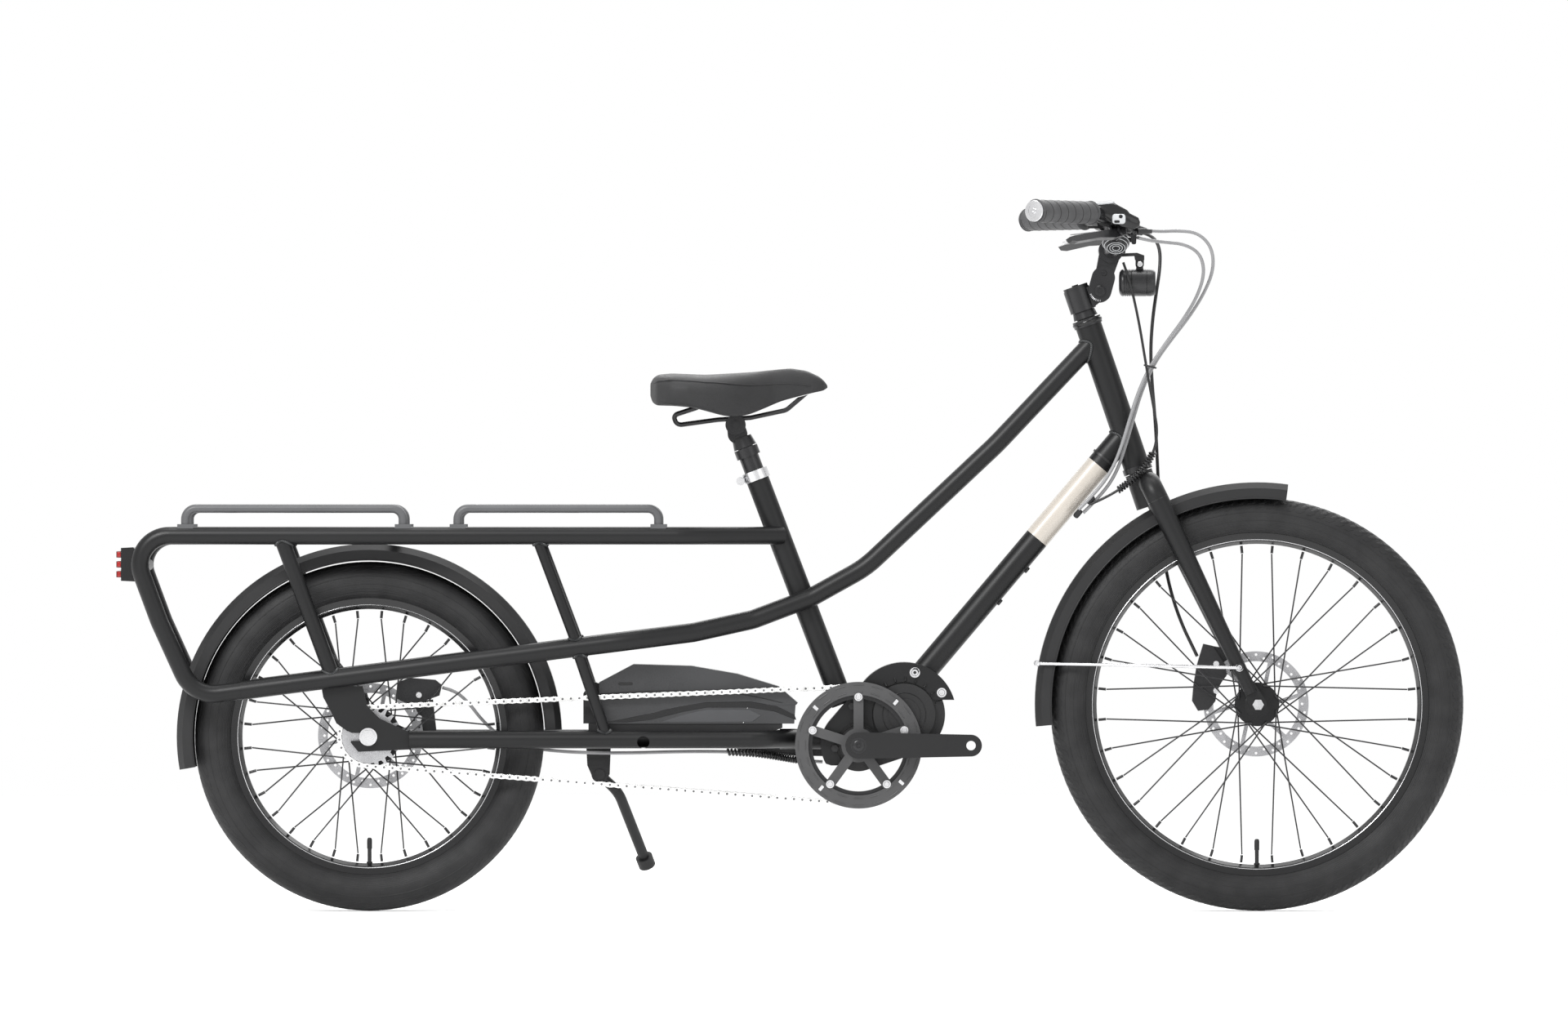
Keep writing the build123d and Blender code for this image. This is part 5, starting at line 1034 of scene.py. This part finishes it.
def bell_and_levers():
    """The bell's turned rings, a silver strip along the top of each brake lever as a painted highlight, and
    the headset's glossy ring.
    """
    down = Vector((0.0, -0.605, -0.796))
    crown = Vector((491.4, -121.0, 1028.6)) + down * 31.5
    rings = Shape()
    for radius, sink in ((13.5, 0.0), (9.5, 0.0), (5.5, 0.0), (17.5, 4.3), (20.3, 9.0)):
        rings.ring(crown - down * sink, down, radius, 0.6, 40, 6)
    make("bell_rings", rings, GREY_PLASTIC, "bar")
    for side, label in ((-1, "right"), (1, "left")):
        tip, pivot = Vector((417.0, side * 296.0, 1014.7)), Vector((494.0, side * 176.0, 1026.0))
        # A silver strip on the top of the dark lever: a painted highlight.
        path = [pivot.lerp(tip, share) + UP * 5.6 for share in (0.18, 0.4, 0.6, 0.8, 0.97)]
        edge = Shape().tube(path, 0.8, 8)
        make("lever_highlight_" + label, edge, SILVER, "brake_lever_" + label)
    ring = Shape().ring(steer(231.0), steer(1.0) - steer(0), 19.0, 4.3, 48, 12)
    make("headset_ring", ring, GLOSS_BLACK, "frame")


# ---- lamps
LAMP_REAR_X, LAMP_Z, LAMP_R = 499.0, 953.5, 20.6
LAMP_HINGE = Vector((530.5, 0, 981.3))


def headlight():
    """A rounded can with ribs at the rear and a seam before its clear front, hung from an eye."""
    ribs = []
    for number in range(4):
        height = 5.4 + number * 3.4
        ribs += [(LAMP_R, height), (LAMP_R, height + 1.6), (19.6, height + 2.0), (19.6, height + 3.0)]
    rear = [(0, 0), (11.0, 0), (15.5, 0.7), (18.4, 2.2), (20.0, 4.0)]
    ahead = [(LAMP_R, 19.4), (LAMP_R, 41.0), (19.9, 41.4), (19.9, 42.3), (20.5, 42.7), (20.4, 47.5),
             (19.8, 51.0), (18.8, 53.6), (17.6, 55.0), (16.9, 55.2), (16.3, 54.4), (15.8, 50.0), (0, 49.0)]
    can = Shape().lathe((LAMP_REAR_X, 0, LAMP_Z), AHEAD, rear + ribs + ahead, 48)
    eye = [(-5.0, -1.0), (-6.2, -15.0), (6.2, -15.0), (5.0, -1.0), (3.5, 3.6), (0, 5.0), (-3.5, 3.6)]
    can.slab(eye, LAMP_HINGE, AHEAD, UP, -3.6, 3.6, 0.8)
    body = make("headlight_can", can, MATTE_SATIN, "headlight", crease=28)
    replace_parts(body, "headlight")
    glass = [(0, 0), (16.2, 0), (16.4, 3.6), (14.0, 4.8), (8.0, 5.3), (0, 5.5)]
    front = Shape().lathe((LAMP_REAR_X + 50.0, 0, LAMP_Z), AHEAD, glass, 40)
    make("headlight_glass", front, CLEAR_LENS, "headlight")
    hinge = Shape()
    for side in SIDES:
        hinge.bolt(LAMP_HINGE + ACROSS * side * 10.6, (0, side, 0), 4.4, 2.6)
    make("headlight_hinge_bolts", hinge, SILVER, "bar")


def tail_light():
    """Three red lenses between four bright strips."""
    lenses, strips = Shape(), Shape()
    for z in (541.0, 526.0, 511.0):
        lenses.slab(rounded(77.0, 9.8, 2.4), (-1016.6, 0, z), ACROSS, UP, -5.0, 2.6, 1.2)
    for z in (548.6, 533.5, 518.5, 503.6):
        strips.slab(rounded(80.0, 2.2, 0.9), (-1013.8, 0, z), ACROSS, UP, -2.4, 1.0, 0.3)
    make("tail_light_lens_row", lenses, RED_LENS, "frame")
    make("tail_light_strips", strips, SILVER, "frame")


# ---- fenders, wraps and brakes
def fender_edge(name, axle, radius, first, stride, count, y, body):
    """The rolled edge on both sides of a fender, from one angle by even steps."""
    shape = Shape()
    for side in SIDES:
        shape.tube([polar(axle, radius, first + step * stride, side * y) for step in range(count)], 1.2, 8)
    make(name, shape, MATTE_PLASTIC, body)


def fender_details():
    """Rolled edges, and the front fender's wire stay from its rear edge to the fork."""
    fender_edge("front_fender_edges", FRONT_AXLE, 313.0, 83, 1.45, 71, 34.0, "steering")
    wires = Shape()
    route = ((374.5, 36.5, 375.5), (468.0, 47.3, 374.0), (560.0, 58.0, 372.5), (618.0, 63.0, 371.0),
             (680.5, 68.4, 369.5))
    for side in SIDES:
        wires.tube(smooth_line([(x, side * y, z) for x, y, z in route], 8), 2.4, 12)
        wires.bolt((374.5, side * 37.5, 375.5), (0, side, 0), 4.4, 2.6)
    make("front_fender_wires", wires, SILVER, "steering")
    fender_edge("rear_fender_edges", REAR_AXLE, 268.0, 3, 1.86, 101, 35.0, "frame")


def spiral_wrap(name, route, first, last, radius):
    """A wound sleeve round part of a cable; first and last are shares of the cable's points."""
    line = smooth_line(route, 24)
    part = line[int(len(line) * first):int(len(line) * last)]
    frames = carried(part)
    length, pitch, steps_per_turn = line_length(part), 4.6, 16
    count = int(length / pitch * steps_per_turn)
    path = []
    for step in range(count):
        place = step / count * (len(frames) - 1)
        point, x, y = frames[int(place)]
        following = frames[min(int(place) + 1, len(frames) - 1)][0]
        t = tau * length * step / count / pitch
        path.append(point.lerp(following, place % 1) + (x * cos(t) + y * sin(t)) * radius)
    return name, Shape().tube(path, 1.7, 6)


def spiral_wraps():
    """Sleeves that gather the cables at the head tube and below the motor."""
    name, shape = spiral_wrap("head_wrap", DISPLAY_CABLE, 0.68, 0.9, 4.4)
    piece = make(name, shape, HOSE_BLACK, None)
    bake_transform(piece)
    name, shape = spiral_wrap("stay_wrap", STAY_HOSE, 0.72, 0.98, 4.6)
    make(name, shape, HOSE_BLACK, "frame")


def brake_details():
    """Pad pins and mounting bolts of the two calipers."""
    for name, body in (("front", "steering"), ("rear", "frame")):
        low, high = (Vector(corner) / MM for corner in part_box(name + "_caliper"))
        x = (low.x + high.x) / 2
        shape = Shape()
        for share in (0.3, 0.7):
            z = low.z + (high.z - low.z) * share
            shape.bolt((x, low.y - 0.2, z), -ACROSS, 5.0, 3.2)
            shape.bolt((x, high.y + 0.2, z), ACROSS, 5.0, 3.2)
        make(name + "_caliper_bolts", shape, SILVER, body)


# ---- setting
def light(name, kind, place, aim, energy, size):
    data = bpy.data.lights.new(name, kind)
    data.energy = energy
    data.shape = "RECTANGLE"
    data.size, data.size_y = size
    lamp = bpy.data.objects.new(name, data)
    bpy.context.collection.objects.link(lamp)
    lamp.location = place
    lamp.rotation_euler = (Vector(aim) - Vector(place)).to_track_quat("-Z", "Y").to_euler()


def setting():
    """A pale floor, soft lights and a far camera level with the bicycle's middle."""
    paper = Graph("pale paper")
    tone = paper.mix(paper.remap(paper.noise(3.0), 0.3, 0.7), (0.86, 0.86, 0.86), (0.9, 0.9, 0.9))
    paper.bump(paper.noise(400.0), 0.00005)
    paper_material = paper.finish(tone, 0.8, Emission_Color=(1, 1, 1, 1), Emission_Strength=0.14)
    sheet = Shape().lathe((0, 0, -3.0), UP, [(0, 0), (9000, 0), (9000, 2.5), (0, 2.5)], 64)
    floor = make("paper_floor", sheet, paper_material, None, crease=40)
    light("key", "AREA", (-2.2, -3.6, 3.6), (0, 0, 0.5), 230, (1.9, 1.4))
    light("fill", "AREA", (3.0, -3.4, 1.8), (0, 0, 0.5), 20, (2.4, 2.4))
    light("top", "AREA", (0, 0.2, 4.2), (0, 0, 0), 80, (3.2, 1.2))
    light("behind", "AREA", (0.5, 3.0, 2.6), (0, 0, 0.6), 50, (3.0, 2.0))
    world = bpy.data.worlds.new("studio")
    bpy.context.scene.world = world
    world.use_nodes = True
    world.node_tree.nodes["Background"].inputs["Color"].default_value = (1, 1, 1, 1)
    world.node_tree.nodes["Background"].inputs["Strength"].default_value = 1.0
    camera = bpy.data.cameras.new("camera")
    camera.sensor_width = 36.0
    distance, width = 22.0, 2.381
    camera.lens = camera.sensor_width * distance / width
    camera.clip_end = 100.0
    holder = bpy.data.objects.new("camera", camera)
    bpy.context.collection.objects.link(holder)
    holder.location = (-0.0096, -distance, 0.6054)
    holder.rotation_euler = (pi / 2, 0, 0)
    bpy.context.scene.camera = holder
    bpy.context.scene.view_settings.view_transform = "Standard"


def main():
    dress_nodes()
    front_tread()
    rear_tread()
    sidewall_lines("front_sidewalls", FRONT_AXLE, FRONT_TYRE_R, "front_wheel", FRONT_RUBBER)
    sidewall_lines("rear_sidewalls", REAR_AXLE, REAR_TYRE_R, "rear_wheel", REAR_RUBBER)
    rim_details("front_rim", FRONT_AXLE, FRONT_BEAD_R, "front_wheel")
    rim_details("rear_rim", REAR_AXLE, REAR_BEAD_R, "rear_wheel")
    chain()
    saddle()
    hoses()
    frame_details()
    bolts()
    battery_details()
    motor_details()
    grips()
    stem_details()
    display_details()
    bell_and_levers()
    headlight()
    tail_light()
    fender_details()
    spiral_wraps()
    brake_details()
    setting()


main()
